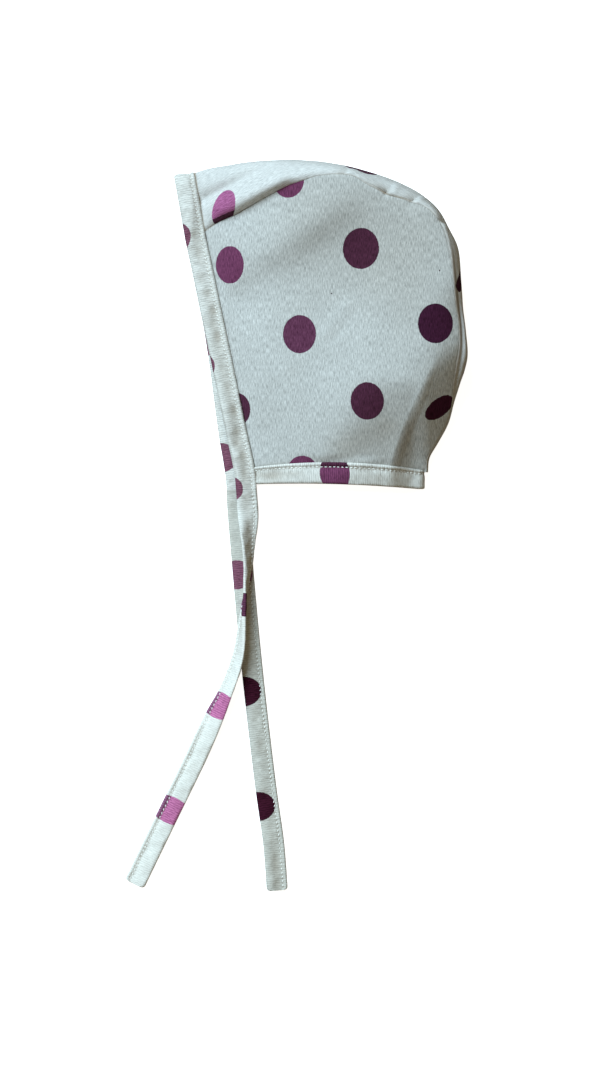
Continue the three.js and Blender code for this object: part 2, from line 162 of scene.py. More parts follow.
# The soft folds of the upper side that its solid has
mainFolds = table("fromX fromY toX toY height halfWidth", [
    (-48, 38, 4, 60, 2.2, 12),  # brow swell
    (-20, 0, 28, 26, -1.3, 13),  # cheek hollow
    (2, -70, 22, -50, -1.7, 6),  # nape tuck
    (18, -72, 30, -54, 1.0, 7),  # nape swell
])
sections = table("seamX seamY foldX foldY foldZ lift", [
    (-58.3, 47.2, -63.5, 76.2, 2.7, 0),
    (-51.8, 51.3, -55.9, 78.4, 4.4, 14),
    (-43.1, 55.1, -47.8, 79.6, 6.5, 24),
    (-36.9, 58.7, -39.3, 80.8, 8.5, 30),
    (-29.8, 62.9, -30.8, 81.6, 10.5, 34),
    (-18.1, 69.3, -17.7, 82.2, 13.5, 32),
    (-8.9, 72.0, -7.8, 81.6, 16.0, 24),
    (0.6, 74.0, 2.7, 80.5, 18.0, 12),
    (14.0, 73.8, 16.2, 77.7, 20.0, 2),
    (24.4, 68.1, 27.6, 74.3, 21.0, 4),
    (34.7, 63.3, 38.6, 70.1, 22.0, 2),
    (45.6, 59.9, 49.4, 64.2, 22.5, -2),
    (53.8, 55.8, 57.5, 57.0, 23.0, -4),
    (59.7, 48.0, 63.0, 47.2, 23.5, -6),
    (62.8, 37.3, 67.7, 37.0, 24.0, -4),
    (64.6, 25.9, 68.9, 22.5, 24.0, 0),
    (66.1, 11.1, 69.9, 9.0, 24.0, 0),
    (67.7, -0.7, 71.4, -3.4, 23.0, 0),
    (67.9, -11.5, 72.3, -14.8, 21.0, 2),
    (66.5, -20.8, 71.1, -22.1, 16.5, -6),
    (65.3, -29.0, 68.6, -29.5, 12.0, -26),
    (64.6, -38.7, 65.9, -38.8, 8.0, -40),
    (62.5, -48.0, 63.4, -48.2, 6.0, -30),
    (57.5, -57.4, 58.4, -57.7, 5.2, -20),
    (52.9, -65.4, 53.8, -65.8, 5.0, -10),
    (52.1, -72.2, 53.0, -72.3, 5.0, -10),
])
# Where the ties lie: the middle of the width, the height it lies on and how far it is turned over,
# below 0 with its outer edge going up and across
leftTie = table("x y under turn", [
    (-37.7, -82.9, 3.1, 0), (-36.9, -92.9, 2.2, -6), (-36.6, -101, 2.2, -31), (-36.6, -109, 2.2, -54),
    (-36.7, -118, 2.2, -68), (-37.4, -126, 2.2, -78), (-38.2, -134, 2.2, -90), (-39.2, -143, 2.2, -99),
    (-39.9, -152, 2.2, -108), (-41.0, -162, 2.2, -116), (-43.5, -172, 2.0, -123),
    (-48.3, -184.5, 1.2, -131), (-53.6, -196, 0.5, -152), (-60.9, -212, 0, -176), (-64.6, -220, 0, -180),
    (-78.8, -249, 0, -180), (-94.0, -280.4, 0, -180),
])
rightTie = table("x y under turn", [
    (-42.4, -82.9, 0.2, 0), (-41.9, -92.9, 0, 0), (-40.3, -112, 0, 0), (-38.6, -132, 0, 0),
    (-36.6, -154, 0, 0), (-34.4, -176, 0, 0), (-31.3, -204, 0, 0), (-27.5, -235, 0, 0),
    (-24.0, -260, 0, 0), (-22.2, -283.6, 0, 0),
])


def levelAt(y):
    i = np.clip(np.searchsorted(levels["y"], y) - 1, 0, len(levels["y"]) - 2)
    within = np.clip((y - levels["y"][i]) / (levels["y"][i + 1] - levels["y"][i]), 0, 1)
    return rowAt(levels, (i + within) / (len(levels["y"]) - 1))


def foldHeight(folds, x, y):
    total = np.zeros(np.broadcast(x, y).shape)
    for fromX, fromY, toX, toY, height, halfWidth in zip(*folds.values()):
        alongX, alongY = toX - fromX, toY - fromY
        length = math.hypot(alongX, alongY)
        s = ((x - fromX) * alongX + (y - fromY) * alongY) / length ** 2
        side = ((x - fromX) * alongY - (y - fromY) * alongX) / length
        past = np.maximum(np.maximum(-s, s - 1), 0) * length
        total += height * np.exp(-(side ** 2 + past ** 2) / halfWidth ** 2)
    return total


# The middle of the upper side's cloth above the table
def upperHeight(x, y):
    row = levelAt(y)
    folds = foldHeight(mainFolds, x, y)
    v = np.clip((x - row["ridgeX"]) / (row["backX"] - row["ridgeX"]), 0, 1.1)
    back = row["ridgeZ"] - (row["ridgeZ"] - row["backZ"]) * v * v + folds
    u = np.clip((row["ridgeX"] - x) / (row["ridgeX"] - row["frontX"]), 0, 1)
    rise = 1 - 2 * u * u / (u + 1)
    front = row["frontZ"] + (row["ridgeZ"] - row["frontZ"]) * rise + folds * smooth(1 - u, 0, 0.12)
    return np.where(x > row["ridgeX"], back, front)


def hermite(start, leave, end, arrive, t):
    t2, t3 = t * t, t * t * t
    return (start * (2 * t3 - 3 * t2 + 1) + leave * (t3 - 2 * t2 + t)
            + end * (3 * t2 - 2 * t3) + arrive * (t3 - t2))


# Nicks of the near seam over the crown, where its longer edge was eased in: which section each is
# at, how far the seam is drawn in there, and how deep and wide the strip's valley is
nicks = table("at drawnIn depth width", [
    (7.75, 0.3, 1.0, 3.0), (9.68, 0.9, 3.2, 5.0), (10.86, 0.7, 2.4, 3.4), (12.7, 0.2, 1.4, 2.5),
])
sectionStep = 10.5  # mm between two sections at the crown
nickLook = {
    "spread": 2.4, "sinkReach": 3.5, "sinkShare": 0.3,  # how both edges of the seam go down with a nick
    "reach": 7.0, "lean": 0.15, "after": 1.2, "ridge": 0.4, "ridgeAt": 2.6, "ridgeWide": 1.6, "height": 0.8,
    "shade": 0.3, "shadeAfter": 0.8, "shadeReach": 4, "shadeMost": 0.75,
}


def fromNick(nick, along):
    return (along * (len(sections["seamX"]) - 1) - nick["at"]) * sectionStep


# How far the cloth on both sides of the seam goes down with a nick
def sinkAt(nick, along, away):
    fade = np.exp(-np.abs(fromNick(nick, along)) / nickLook["spread"] - away / nickLook["sinkReach"])
    return nickLook["sinkShare"] * nick["depth"] * fade


def eachNick():
    return [dict(zip(nicks, values)) for values in zip(*nicks.values())]


# The near seam in plan, drawn in a little at each nick, and the outermost line beside it
def seamAndFold(along):
    row = rowAt(sections, along)
    seam = np.stack([row["seamX"], row["seamY"]], -1)
    fold = np.stack([row["foldX"], row["foldY"]], -1)
    outward = unit(fold - seam)
    for nick in eachNick():
        pull = nick["drawnIn"] * np.exp(-np.abs(fromNick(nick, along)) / nickLook["spread"])
        seam = seam - outward * pull[..., None]
    return seam, fold


# The centre panel at each section: its seams, its outermost line and how fast it passes them
def centreSection(along):
    row = rowAt(sections, along)
    seam, fold = seamAndFold(along)
    width = np.linalg.norm(fold - seam, axis=-1, keepdims=True)
    outward = (fold - seam) / width
    lift = np.radians(row["lift"])[..., None]
    upper = withZ(seam, upperHeight(seam[..., 0], seam[..., 1]))
    outer, lower = withZ(fold, row["foldZ"]), withZ(seam, cloth["thickness"] / 2 + 0.1)
    down = np.array([0.0, 0.0, -1.0])
    return {
        "upper": upper, "outer": outer, "lower": lower, "outward": withZ(outward, 0.0),
        "leave": np.concatenate([outward * np.cos(lift), np.sin(lift)], -1) * cloth["roundness"] * width,
        "swingIn": down * (cloth["roundness"] * (upper - outer)[..., 2:] + cloth["foldRound"]),
        "swingOut": down * (cloth["roundness"] * (outer - lower)[..., 2:] + cloth["foldRound"]),
        "arrive": withZ(outward, 0.0) * -cloth["roundness"] * width,
    }


# across runs from the upper seam (0) round the outermost line (0.5) to the lower seam (1)
def centrePoints(along, across):
    s = {key: value[:, None, :] for key, value in centreSection(along).items()}
    t = np.asarray(across, float)[..., None]
    near = hermite(s["upper"], s["leave"], s["outer"], s["swingIn"], t * 2)
    far = hermite(s["outer"], s["swingOut"], s["lower"], s["arrive"], t * 2 - 1)
    return np.where(t < 0.5, near, far)


def faceEdgeX(y):
    return levelAt(y)["frontX"]


def lowerFaceX(y):
    return faceEdgeX(y) - lowerPeek["most"] * smooth(y, lowerPeek["fromY"], lowerPeek["toY"])


def archY(arch, x):
    return arch["y"] - arch["bend"] * (x - arch["x"]) ** 2


# Mesh helpers
def gridNormals(points):
    return unit(np.cross(np.gradient(points, axis=0), np.gradient(points, axis=1)))


def facesInwards(points, quads):
    corners = points[quads]
    fan = [(corners[:, 0], corners[:, k], corners[:, k + 1]) for k in (1, 2)]
    return sum(np.einsum("ij,ij->", a, np.cross(b, c)) for a, b, c in fan) < 0


# A piece whose face corners hold their place on the flat cloth and how much painted shade they take
def newPiece(name, points, faces, clothAt, materials, inwards=False, insideFaces=None, sharpAngle=60):
    mesh = bpy.data.meshes.new(name)
    mesh.from_pydata((points * mm).tolist(), [], faces)
    attribute = mesh.attributes.new("cloth", "FLOAT_VECTOR", "CORNER")
    attribute.data.foreach_set("vector", clothAt.astype(np.float32).ravel())
    if inwards:
        mesh.flip_normals()
    for material in materials:
        mesh.materials.append(material)
    if insideFaces is not None:
        mesh.polygons.foreach_set("material_index", insideFaces.astype(np.int32))
    mesh.shade_smooth()
    mesh.set_sharp_from_angle(angle=math.radians(sharpAngle))
    mesh.update()
    return newObject(name, mesh)


# A piece of quads alone, listed either way round
def quadPiece(name, points, quads, flatPoints, materials, **more):
    if facesInwards(points, quads):
        quads = quads[:, ::-1]
    return newPiece(name, points, quads.tolist(), flatPoints[quads], materials, **more)


# A closed cloth wall about a grid of points, with a place on the flat cloth and an amount of painted shade
# for each
def clothWall(name, middle, flat, paintedShade, materials, turned=False):
    rows, cols = middle.shape[:2]
    offset = gridNormals(middle) * (-1 if turned else 1) * cloth["thickness"] / 2
    points = np.concatenate([(middle + offset).reshape(-1, 3), (middle - offset).reshape(-1, 3)])
    flatPoints = np.tile(withZ(flat, paintedShade).reshape(-1, 3), (2, 1))
    count = rows * cols
    at = np.arange(count).reshape(rows, cols)
    skin = np.stack([at[:-1, :-1], at[1:, :-1], at[1:, 1:], at[:-1, 1:]], -1).reshape(-1, 4)
    rim = np.concatenate([at[0, :], at[1:, -1], at[-1, -2::-1], at[-2:0:-1, 0]])
    step = np.roll(rim, -1)
    side = np.stack([rim, step, step + count, rim + count], -1)
    quads = np.concatenate([skin, skin[:, ::-1] + count, side[:, ::-1]])
    isInside = np.arange(len(quads)) >= len(skin)
    return quadPiece(name, points, quads, flatPoints, materials, insideFaces=isInside)


# The numbers of a tube's points, ring by ring, and the faces between its rings
def tubeFaces(count, around):
    at = np.arange(count * around).reshape(count, around)
    after = np.roll(at, -1, axis=1)
    return at, np.stack([at[:-1], after[:-1], after[1:], at[1:]], -1).reshape(-1, 4)


# A folded band as a closed mesh, with a cap of strips and two tips at each end
def bandMesh(name, folded, material):
    rings = folded["rings"]
    at, skin = tubeFaces(*rings.shape[:2])
    half = rings.shape[1] // 2  # the ring runs over the top from 0 to half and back underneath
    k = np.arange(1, half - 1)
    caps, tips = [], []
    for ring, flip in ((at[0], 1), (at[-1], -1)):
        caps.append(np.stack([ring[k], ring[-k], ring[-k - 1], ring[k + 1]], -1)[:, ::flip])
        tips += [ring[[0, -1, 1]][::flip], ring[[half, half - 1, half + 1]][::flip]]
    caps, tips = np.concatenate(caps), np.array(tips)
    flat = withZ(folded["flat"], folded["paintedShade"])
    flatSkin = np.stack([flat[:-1, :-1], flat[:-1, 1:], flat[1:, 1:], flat[1:, :-1]], -2)
    flatPoints = flat[:, :-1].reshape(-1, 3)
    parts = (flatSkin, flatPoints[caps], flatPoints[tips])
    clothAt = np.concatenate([part.reshape(-1, 3) for part in parts])
    points = rings.reshape(-1, 3)
    faces = skin.tolist() + caps.tolist() + tips.tolist()
    return newPiece(name, points, faces, clothAt, [material], facesInwards(points, skin))


# Materials
def linear(hexColour):
    values = [int(hexColour[i:i + 2], 16) / 255 for i in (1, 3, 5)]
    return [v / 12.92 if v <= 0.04045 else ((v + 0.055) / 1.055) ** 2.4 for v in values] + [1]


# Adds a node: settings are its own properties or its sockets' values, links go to its sockets
def addNode(tree, kind, settings=None, links=None):
    node = tree.nodes.new("ShaderNode" + kind)
    for key, value in (settings or {}).items():
        if isinstance(key, str) and hasattr(node, key):
            setattr(node, key, value)
        else:
            node.inputs[key].default_value = value
    for key, source in (links or {}).items():
        tree.links.new(source, node.inputs[key])
    return node


def newMaterial(name, values):
    material = bpy.data.materials.new(name)
    material.use_nodes = True
    shader = material.node_tree.nodes["Principled BSDF"]
    for socket, value in values.items():
        shader.inputs[socket].default_value = value
    return material, material.node_tree, shader


# 1 inside each printed dot and 0 outside, from the place on the flat cloth
def dotMask(tree, place, dots):
    nearest = None
    for x, y, halfWide, halfTall, tilt in dots:
        local = addNode(tree, "Mapping", {
            "vector_type": "TEXTURE", "Location": (x, y, 0), "Rotation": (0, 0, math.radians(tilt)),
            "Scale": (halfWide, halfTall, 1),
        }, {"Vector": place})
        away = addNode(tree, "VectorMath", {"operation": "LENGTH"}, {0: local.outputs[0]}).outputs["Value"]
        if nearest is not None:
            away = addNode(tree, "Math", {"operation": "MINIMUM"}, {0: nearest, 1: away}).outputs[0]
        nearest = away
    edge = addNode(tree, "MapRange", {
        "From Min": 0.985, "From Max": 1.015, "To Min": 1.0, "To Max": 0.0,
    }, {"Value": nearest})
    return edge.outputs[0]


# Cotton interlock jersey, ring-spun and dyed cream, with round dots printed on its face: a matte,
# slightly fuzzy surface whose fine wales show as broken streaks. One layer lets part of the light
# through and looks greyer than the four layers of a band. The strip and tie copies below are lighter
# and darker as painted light and shade, for how those pieces are lit.
jersey = {
    "cream": "#d9d9d6", "shade": "#a3a3a0", "shadeTint": "#896938",
    "waleWide": 0.37, "waleLong": 2.9,  # mm, a little wider than a fine jersey's
    "mottle": 14.0, "relief": 0.3, "roughness": 0.93, "sheen": 0.02, "ragged": 0.45, "ribs": 0.0,
}
# painted light: the centre strip is one layer too, drawn lighter as it faces the light
litStripJersey = {**jersey, "cream": "#e3e2df", "shade": "#bcbbb8", "relief": 0.24}
bandJersey = {**jersey, "cream": "#edebe5", "shade": "#c1bfb9", "relief": 0.3, "ribs": 0.6}
# painted light: the left tie's turned-over side is drawn lighter, as it catches more light
litUnderJersey = {**bandJersey, "cream": "#f6f4ed", "shade": "#dcdad3", "shadeTint": "#94784e"}
shadedTieJersey = {**bandJersey, "cream": "#d8d5cc", "shade": "#b6b3aa"}  # the tie whose right side shows, drawn darker as painted shade
# The one plum print in lit and shaded copies: painted light and shade, each dot in the ink for its light
ink = {
    "deep": ("#2e1121", "#4b223c"), "plum": ("#3a1c2a", "#5d3148"), "pale": ("#562a44", "#834769"),
    "soft": ("#83436a", "#bb709d"), "bright": ("#9b537d", "#dc85b5"), "dark": ("#2a0a17", "#46182b"),
    "dusky": ("#613747", "#915d71"), "wine": ("#492338", "#71415b"),
    "lip": ("#70405c", "#aa7395"),
}


def mixColours(tree, factor, first, second, blend="MIX"):
    node = addNode(tree, "Mix", {"data_type": "RGBA", "blend_type": blend})
    for socket, source in ((0, factor), (6, first), (7, second)):
        if isinstance(source, str):
            node.inputs[socket].default_value = linear(source)
        elif isinstance(source, float):
            node.inputs[socket].default_value = source
        else:
            tree.links.new(source, node.inputs[socket])
    return node.outputs[2]


def printedJersey(name, dots, look, turned=False, under=None, lip=None):
    material, tree, shader = newMaterial(name, {
        "Roughness": look["roughness"], "Sheen Weight": look["sheen"], "Sheen Roughness": 0.5,
        "Specular IOR Level": 0.05})
    onCloth = addNode(tree, "Attribute", {"attribute_name": "cloth"}).outputs["Vector"]
    parts = addNode(tree, "SeparateXYZ", links={0: onCloth}).outputs
    place = addNode(tree, "CombineXYZ", links={0: parts[0], 1: parts[1]}).outputs[0]
    wale = (1 / look["waleWide"], 1 / look["waleLong"])
    wales = addNode(tree, "Mapping", {"Scale": (*(wale[::-1] if turned else wale), 1)}, {"Vector": place})
    streaks = addNode(tree, "TexNoise", {"Scale": 1.0, "Detail": 3.0, "Roughness": 0.7},
                      {"Vector": wales.outputs[0]})
    grain = streaks.outputs["Fac"]
    if look["ribs"]:  # the courses of a stretched fold, 1.1 mm apart
        ribs = addNode(tree, "TexWave", {
            "Scale": 0.286, "Distortion": 2.2, "Detail": 2.0, "Detail Scale": 1.6}, {"Vector": place})
        ribs = addNode(tree, "MapRange", {"To Min": -0.12, "To Max": 0.12}, {"Value": ribs.outputs["Fac"]})
        grain = addNode(tree, "Math", {"operation": "MULTIPLY_ADD", 1: look["ribs"]},
                        {0: ribs.outputs[0], 2: grain}).outputs[0]
    streak = addNode(tree, "MapRange", {"From Min": 0.36, "From Max": 0.62}, {"Value": grain}).outputs[0]
    mottle = addNode(tree, "TexNoise", {"Scale": 1 / look["mottle"], "Detail": 2.0}, {"Vector": place})
    shading = addNode(tree, "MapRange", {"From Min": 0.3, "From Max": 0.7, "To Min": 0.97, "To Max": 1.03},
                      {"Value": mottle.outputs["Fac"]}).outputs[0]
    colour = mixColours(tree, streak, look["shade"], look["cream"])
    if under is not None:  # the tie's other side, its place across the band being past the outer edge
        isUnder = addNode(tree, "Math", {"operation": "GREATER_THAN", 1: band["tieWidth"]}, {0: parts[1]})
        other = mixColours(tree, streak, under["shade"], under["cream"])
        colour = mixColours(tree, isUnder.outputs[0], colour, other)
    colour = addNode(tree, "HueSaturation", links={"Color": colour, "Value": shading}).outputs[0]
    # the print's rim is a little ragged, as it follows the loops of the knit
    ragged = addNode(tree, "TexNoise", {"Scale": 1.1, "Detail": 2.0}, {"Vector": place})
    centred = addNode(tree, "VectorMath", {"operation": "SUBTRACT", 1: (0.5, 0.5, 0.5)},
                      {0: ragged.outputs["Color"]})
    flatten = addNode(tree, "VectorMath", {
        "operation": "MULTIPLY", 1: (look["ragged"], look["ragged"], 0)}, {0: centred.outputs[0]})
    moved = addNode(tree, "VectorMath", {"operation": "ADD"}, {0: place, 1: flatten.outputs[0]}).outputs[0]
    movedAcross = addNode(tree, "SeparateXYZ", links={0: moved}).outputs[1]
    for shade, rows in dots.items():
        printed = mixColours(tree, streak, *ink[shade])
        if lip is not None:  # painted light and shade: the print on the lip where the cloth turns in at an edge takes its own ink
            onLip = addNode(tree, "Math", {"operation": "COMPARE", 1: lip["middle"], 2: lip["half"]},
                            {0: movedAcross}).outputs[0]
            printed = mixColours(tree, onLip, printed, mixColours(tree, streak, *ink[lip["ink"]]))
        colour = mixColours(tree, dotMask(tree, moved, rows), colour, printed)
    # painted shade: the colour goes towards the shade tint by the cloth's third value, in creases and seams
    shaded = mixColours(tree, 1.0, colour, look["shadeTint"], "MULTIPLY")
    colour = mixColours(tree, parts[2], colour, shaded)
    tree.links.new(colour, shader.inputs["Base Color"])
    bump = addNode(tree, "Bump", {"Strength": 0.8, "Distance": look["relief"] * mm}, {"Height": grain})
    tree.links.new(bump.outputs[0], shader.inputs["Normal"])
    return material


# Spun polyester sewing thread, white, with a slight gloss
thread = {"colour": "#fbfaf5", "shade": "#efeee8", "roughness": 0.5, "radius": 0.24}


def sewingThread():
    material, tree, shader = newMaterial("spun_polyester_thread", {"Roughness": thread["roughness"]})
    place = addNode(tree, "Attribute", {"attribute_name": "cloth"}).outputs["Vector"]
    twist = addNode(tree, "TexWave", {"Scale": 1.2, "Distortion": 1.0, "bands_direction": "DIAGONAL"},
                    {"Vector": place})
    colour = mixColours(tree, twist.outputs["Fac"], thread["shade"], thread["colour"])
    tree.links.new(colour, shader.inputs["Base Color"])
    return material


threadMaterial = sewingThread()

# Printed dots: middle, half width, half height in mm on the flat cloth, and tilt in degrees. On the
# bands and ties they are places along the band, and across it from the stitched edge and back.
dots = {
    "left": {
        "wine": [(-10.8, -4.8, 8.25, 9.5, 0)],
        "pale": [(-45.6, 30.3, 7.0, 9.25, 0), (-9.3, -74.4, 8.25, 9.25, 0),
                 (-16.2, 72.1, 7.8, 9.2, 0)],
        "plum": [(22.8, -38.2, 8.25, 9.25, 0), (-42.3, -42.1, 7.0, 8.5, 0), (19.7, 37.4, 9.0, 10.25, 0)],
        "deep": [(56.3, -0.1, 8.5, 9.75, 0)],
        "dark": [(58.3, -41.2, 8.3, 4.3, 39),
                 (58.4, 26.0, 0.3, 0.5, 0), (5.1, 15.2, 0.4, 0.3, 0)],  # two flecks of lint
    },
    "right": {"plum": [(x, y, 8.4, 9.4, 0) for x, y in (
        (-40, 22), (26, 30), (-6, -12), (60, -6), (28, -46), (-34, -48), (-10, 56), (56, 60))]},
    "centre": {
        "soft": [(13.6, 5.4, 8.8, 6.3, 45)],
        "plum": [(88.0, 14.8, 9.2, 9.5, 0), (45.8, 46.3, 9.2, 9.5, 0), (112.3, 52.8, 9.2, 9.5, 0),
                 (178.8, 52.0, 9.2, 9.5, 0), (213.3, 22.0, 9.2, 9.5, 0)],
        "dark": [(162.8, 11.8, 13.2, 4.3, -56)],
    },
    "face": {
        "dusky": [(131.0, 14.7, 7.6, 7.6, 0), (65.3, 14.6, 6.4, 6.4, 0), (1.0, 13.1, 6.3, 6.3, 0),
                  (192.0, 15.0, 7.0, 7.0, 0), (244.5, 8.0, 8.6, 12.0, 0), (304.6, 5.0, 8.2, 14.0, 0)],
    },
    "neck": {"pale": [(45.0, 5.2, 7.8, 9.7, 0), (111.5, 5.2, 7.8, 9.7, 0), (168.0, 12.0, 7.8, 9.7, 0)]},
    "tieLeft": {
        "dusky": [(-1.0, 13.1, 6.3, 6.3, 0)], "wine": [(58.3, 11.0, 5.9, 10.0, 0)],
        "bright": [(110.9, 15.9, 6.7, 12.0, 0), (169.4, 15.9, 6.7, 12.0, 0)],
    },
    "tieRight": {
        "dusky": [(42.7, 8.5, 7.3, 8.0, 0)],
        "dark": [(101.3, 10.6, 7.4, 8.8, 0), (159.3, 10.6, 7.3, 8.8, 0)],
    },
}
insideMaterial = printedJersey("cotton_jersey_inside", {}, jersey)
print("materials made")

# Soft folds that only the finished cloth has
fineFolds = table("fromX fromY toX toY height halfWidth", [
    (-44, 25, -4, 49, 1.8, 9),
    (-36, 14, 22, 45, -2.0, 14),
    (-34, -34, -22, 30, 1.6, 15),
    (6, -14, 22, 44, -1.8, 17),
    (2, -70, 22, -50, 1.5, 6),
    (18, -72, 30, -54, -1.2, 7),
    (1, -5, 14, 11, 0.35, 2.2),
    (6, -8, 18, 6, -0.3, 2.0),
    (-20, -24, -6, -66, 0.6, 5),
    (-12, -26, 0, -66, -0.5, 5),
])
napeFold = {
    "fromY": -8, "toY": -30,
    "most": 4.2, "fromX": 8, "toX": 34, "easeX": 43, "endX": 54, "belowY": -26, "fullY": -46,
}
backEdge = {"drop": 4.0, "sooner": 9.0, "fromY": 28, "toY": 0, "endY": -45, "easeY": -25}
# Painted shade on the upper side panel, darkest along broad lines over its soft hollows and at the nape
paintedHollowShade = table("fromX fromY toX toY height halfWidth", [
    (0, 34, 34, 32, 0.17, 28), (-6, 66, 50, 50, 0.13, 22), (30, 20, 44, 10, 0.08, 16),
    (12, -62, 30, -50, 0.34, 9), (33, -66, 40, -48, 0.15, 8),
])


# How far the finished cloth lies below its solid: the back edge drops softly, and behind the fold
# at the nape the cloth falls straight to the back
def clothDrop(x, y):
    row = levelAt(y)
    toBack = row["backX"] - row["ridgeX"]
    v = np.clip((x - row["ridgeX"]) / toBack, 0, 1)
    falls = smooth(y, napeFold["fromY"], napeFold["toY"])
    straight = (v - v * v) * mix(smooth(v, 0, 0.3), 1, 0.5) * (row["ridgeZ"] - row["backZ"]) * falls
    turned = napeFold["most"] * smooth(x, napeFold["fromX"], napeFold["toX"])
    turned = turned * (1 - smooth(x, napeFold["easeX"], napeFold["endX"]))
    turned = turned * smooth(y, napeFold["belowY"], napeFold["fullY"])
    share = np.clip((x - row["ridgeX"] + backEdge["sooner"]) / (toBack + backEdge["sooner"]), 0, 1)
    edge = backEdge["drop"] * share ** 2 * smooth(y, backEdge["fromY"], backEdge["toY"])
    return straight + edge * smooth(y, backEdge["endY"], backEdge["easeY"]) + turned


def clothHeight(x, y):
    return upperHeight(x, y) - clothDrop(x, y)


# A point of the near seam in plan, also a little past its ends
def seamPlan(along):
    along = np.asarray(along, float)
    here = seamAndFold(along)[0]
    near = np.array([0.0, 0.01, 1.0, 0.99])
    row = rowAt(sections, near)
    seam = np.stack([row["seamX"], row["seamY"]], -1)
    slopes = (seam[1::2] - seam[::2]) / (near[1::2] - near[::2])[:, None]
    before, after = np.minimum(along, 0)[..., None], np.maximum(along - 1, 0)[..., None]
    return here + before * slopes[0] + after * slopes[1]


# How far each plan point is from the near seam, and where along it the nearest point is
def fromSeam(xy):
    alongs = np.linspace(-0.01, 1.015, 700)
    line = seamPlan(alongs)
    points = xy.reshape(-1, 2)
    away, along = [], []
    for k in range(0, len(points), 4000):  # a part at a time, to keep the arrays small
        gap = np.linalg.norm(points[k:k + 4000, None] - line, axis=-1)
        away.append(gap.min(1))
        along.append(alongs[gap.argmin(1)])
    return [np.concatenate(found).reshape(xy.shape[:-1]) for found in (away, along)]


# 0 over the crown and 1 down the back, at a share of the way along the near seam
def downBack(along):
    return smooth(along, 0.5, 0.6)


# The near seam is rounder over the crown than down the back
def seamRoundness(along):
    return mix(1, 0.3, downBack(along))


# A grid in plan between four edges, by the four curves' blend
def patch(steps, neck, top, face, back):
    crowd = crowded(np.linspace(0, 1, steps + 1), 0.5)
    s, t = np.meshgrid(crowd, crowd, indexing="ij")
    s, t = s[..., None], t[..., None]
    neckLine, topLine = neck(crowd)[:, None], top(crowd)[:, None]
    faceLine, backLine = face(crowd)[None], back(crowd)[None]
    return (neckLine * (1 - t) + topLine * t + faceLine * (1 - s) + backLine * s
            - neckLine[0] * (1 - s) * (1 - t) - topLine[0] * (1 - s) * t
            - neckLine[-1] * s * (1 - t) - topLine[-1] * s * t)


def sidePlan(steps, edgeX, under):
    browEnd, napeEnd = -0.0065, 1.0103
    brow, nape = seamPlan(browEnd), seamPlan(napeEnd)
    neckAt = lambda x: archY(neckTop, x) - under
    cornerX = edgeX(np.array(-70.0)) - under
    cornerY = neckAt(cornerX)

    def face(t):
        y = mix(cornerY, brow[1], t)
        x = edgeX(y) - under
        return np.stack([x + (brow[0] - (edgeX(brow[1]) - under)) * t ** 2
                         + (cornerX - (edgeX(cornerY) - under)) * (1 - t) ** 2, y], -1)

    def neck(s):
        x = mix(cornerX, nape[0], s)
        return np.stack([x, neckAt(x) + (nape[1] - neckAt(nape[0])) * s ** 2], -1)

    top = lambda s: seamPlan(mix(browEnd, cloth["crownCorner"], s))
    back = lambda t: seamPlan(mix(napeEnd, cloth["crownCorner"], t))
    return patch(steps, neck, top, face, back)


def quarterRound(away, radius):
    inside = np.clip(1 - away / radius, 0, 1)
    return radius * (1 - np.sqrt(np.clip(1 - inside ** 2, 0, 1)))


leftPanel = {
    "steps": 216, "underBand": 1.2, "seamRound": 1.0,
    "faceCalm": 8, "neckCalm": 5, "seamCalm": 5,  # the fine folds fade out this near to an edge
    "ripples": [(0.10, 9, 14, 11), (0.05, 3.5, 6, 12)],  # height, size across and along, seed
    "faceDip": 1.3, "faceDipWide": 0.9, "neckDip": 0.6, "neckDipReach": 1.6, "gatherWide": 4.5,
    "faceGather": 0.12, "faceGatherReach": 5, "neckGather": 0.18, "neckGatherReach": 7,
    "faceShade": 0.85, "faceShadeWide": 0.65, "neckShade": 0.3, "neckShadeWide": 0.8,
    "crownShade": 0.6, "backShade": 0.1, "seamWide": 0.5,
    "easedShade": 0.35, "easedAt": 0.225, "easedReach": 0.04,
}


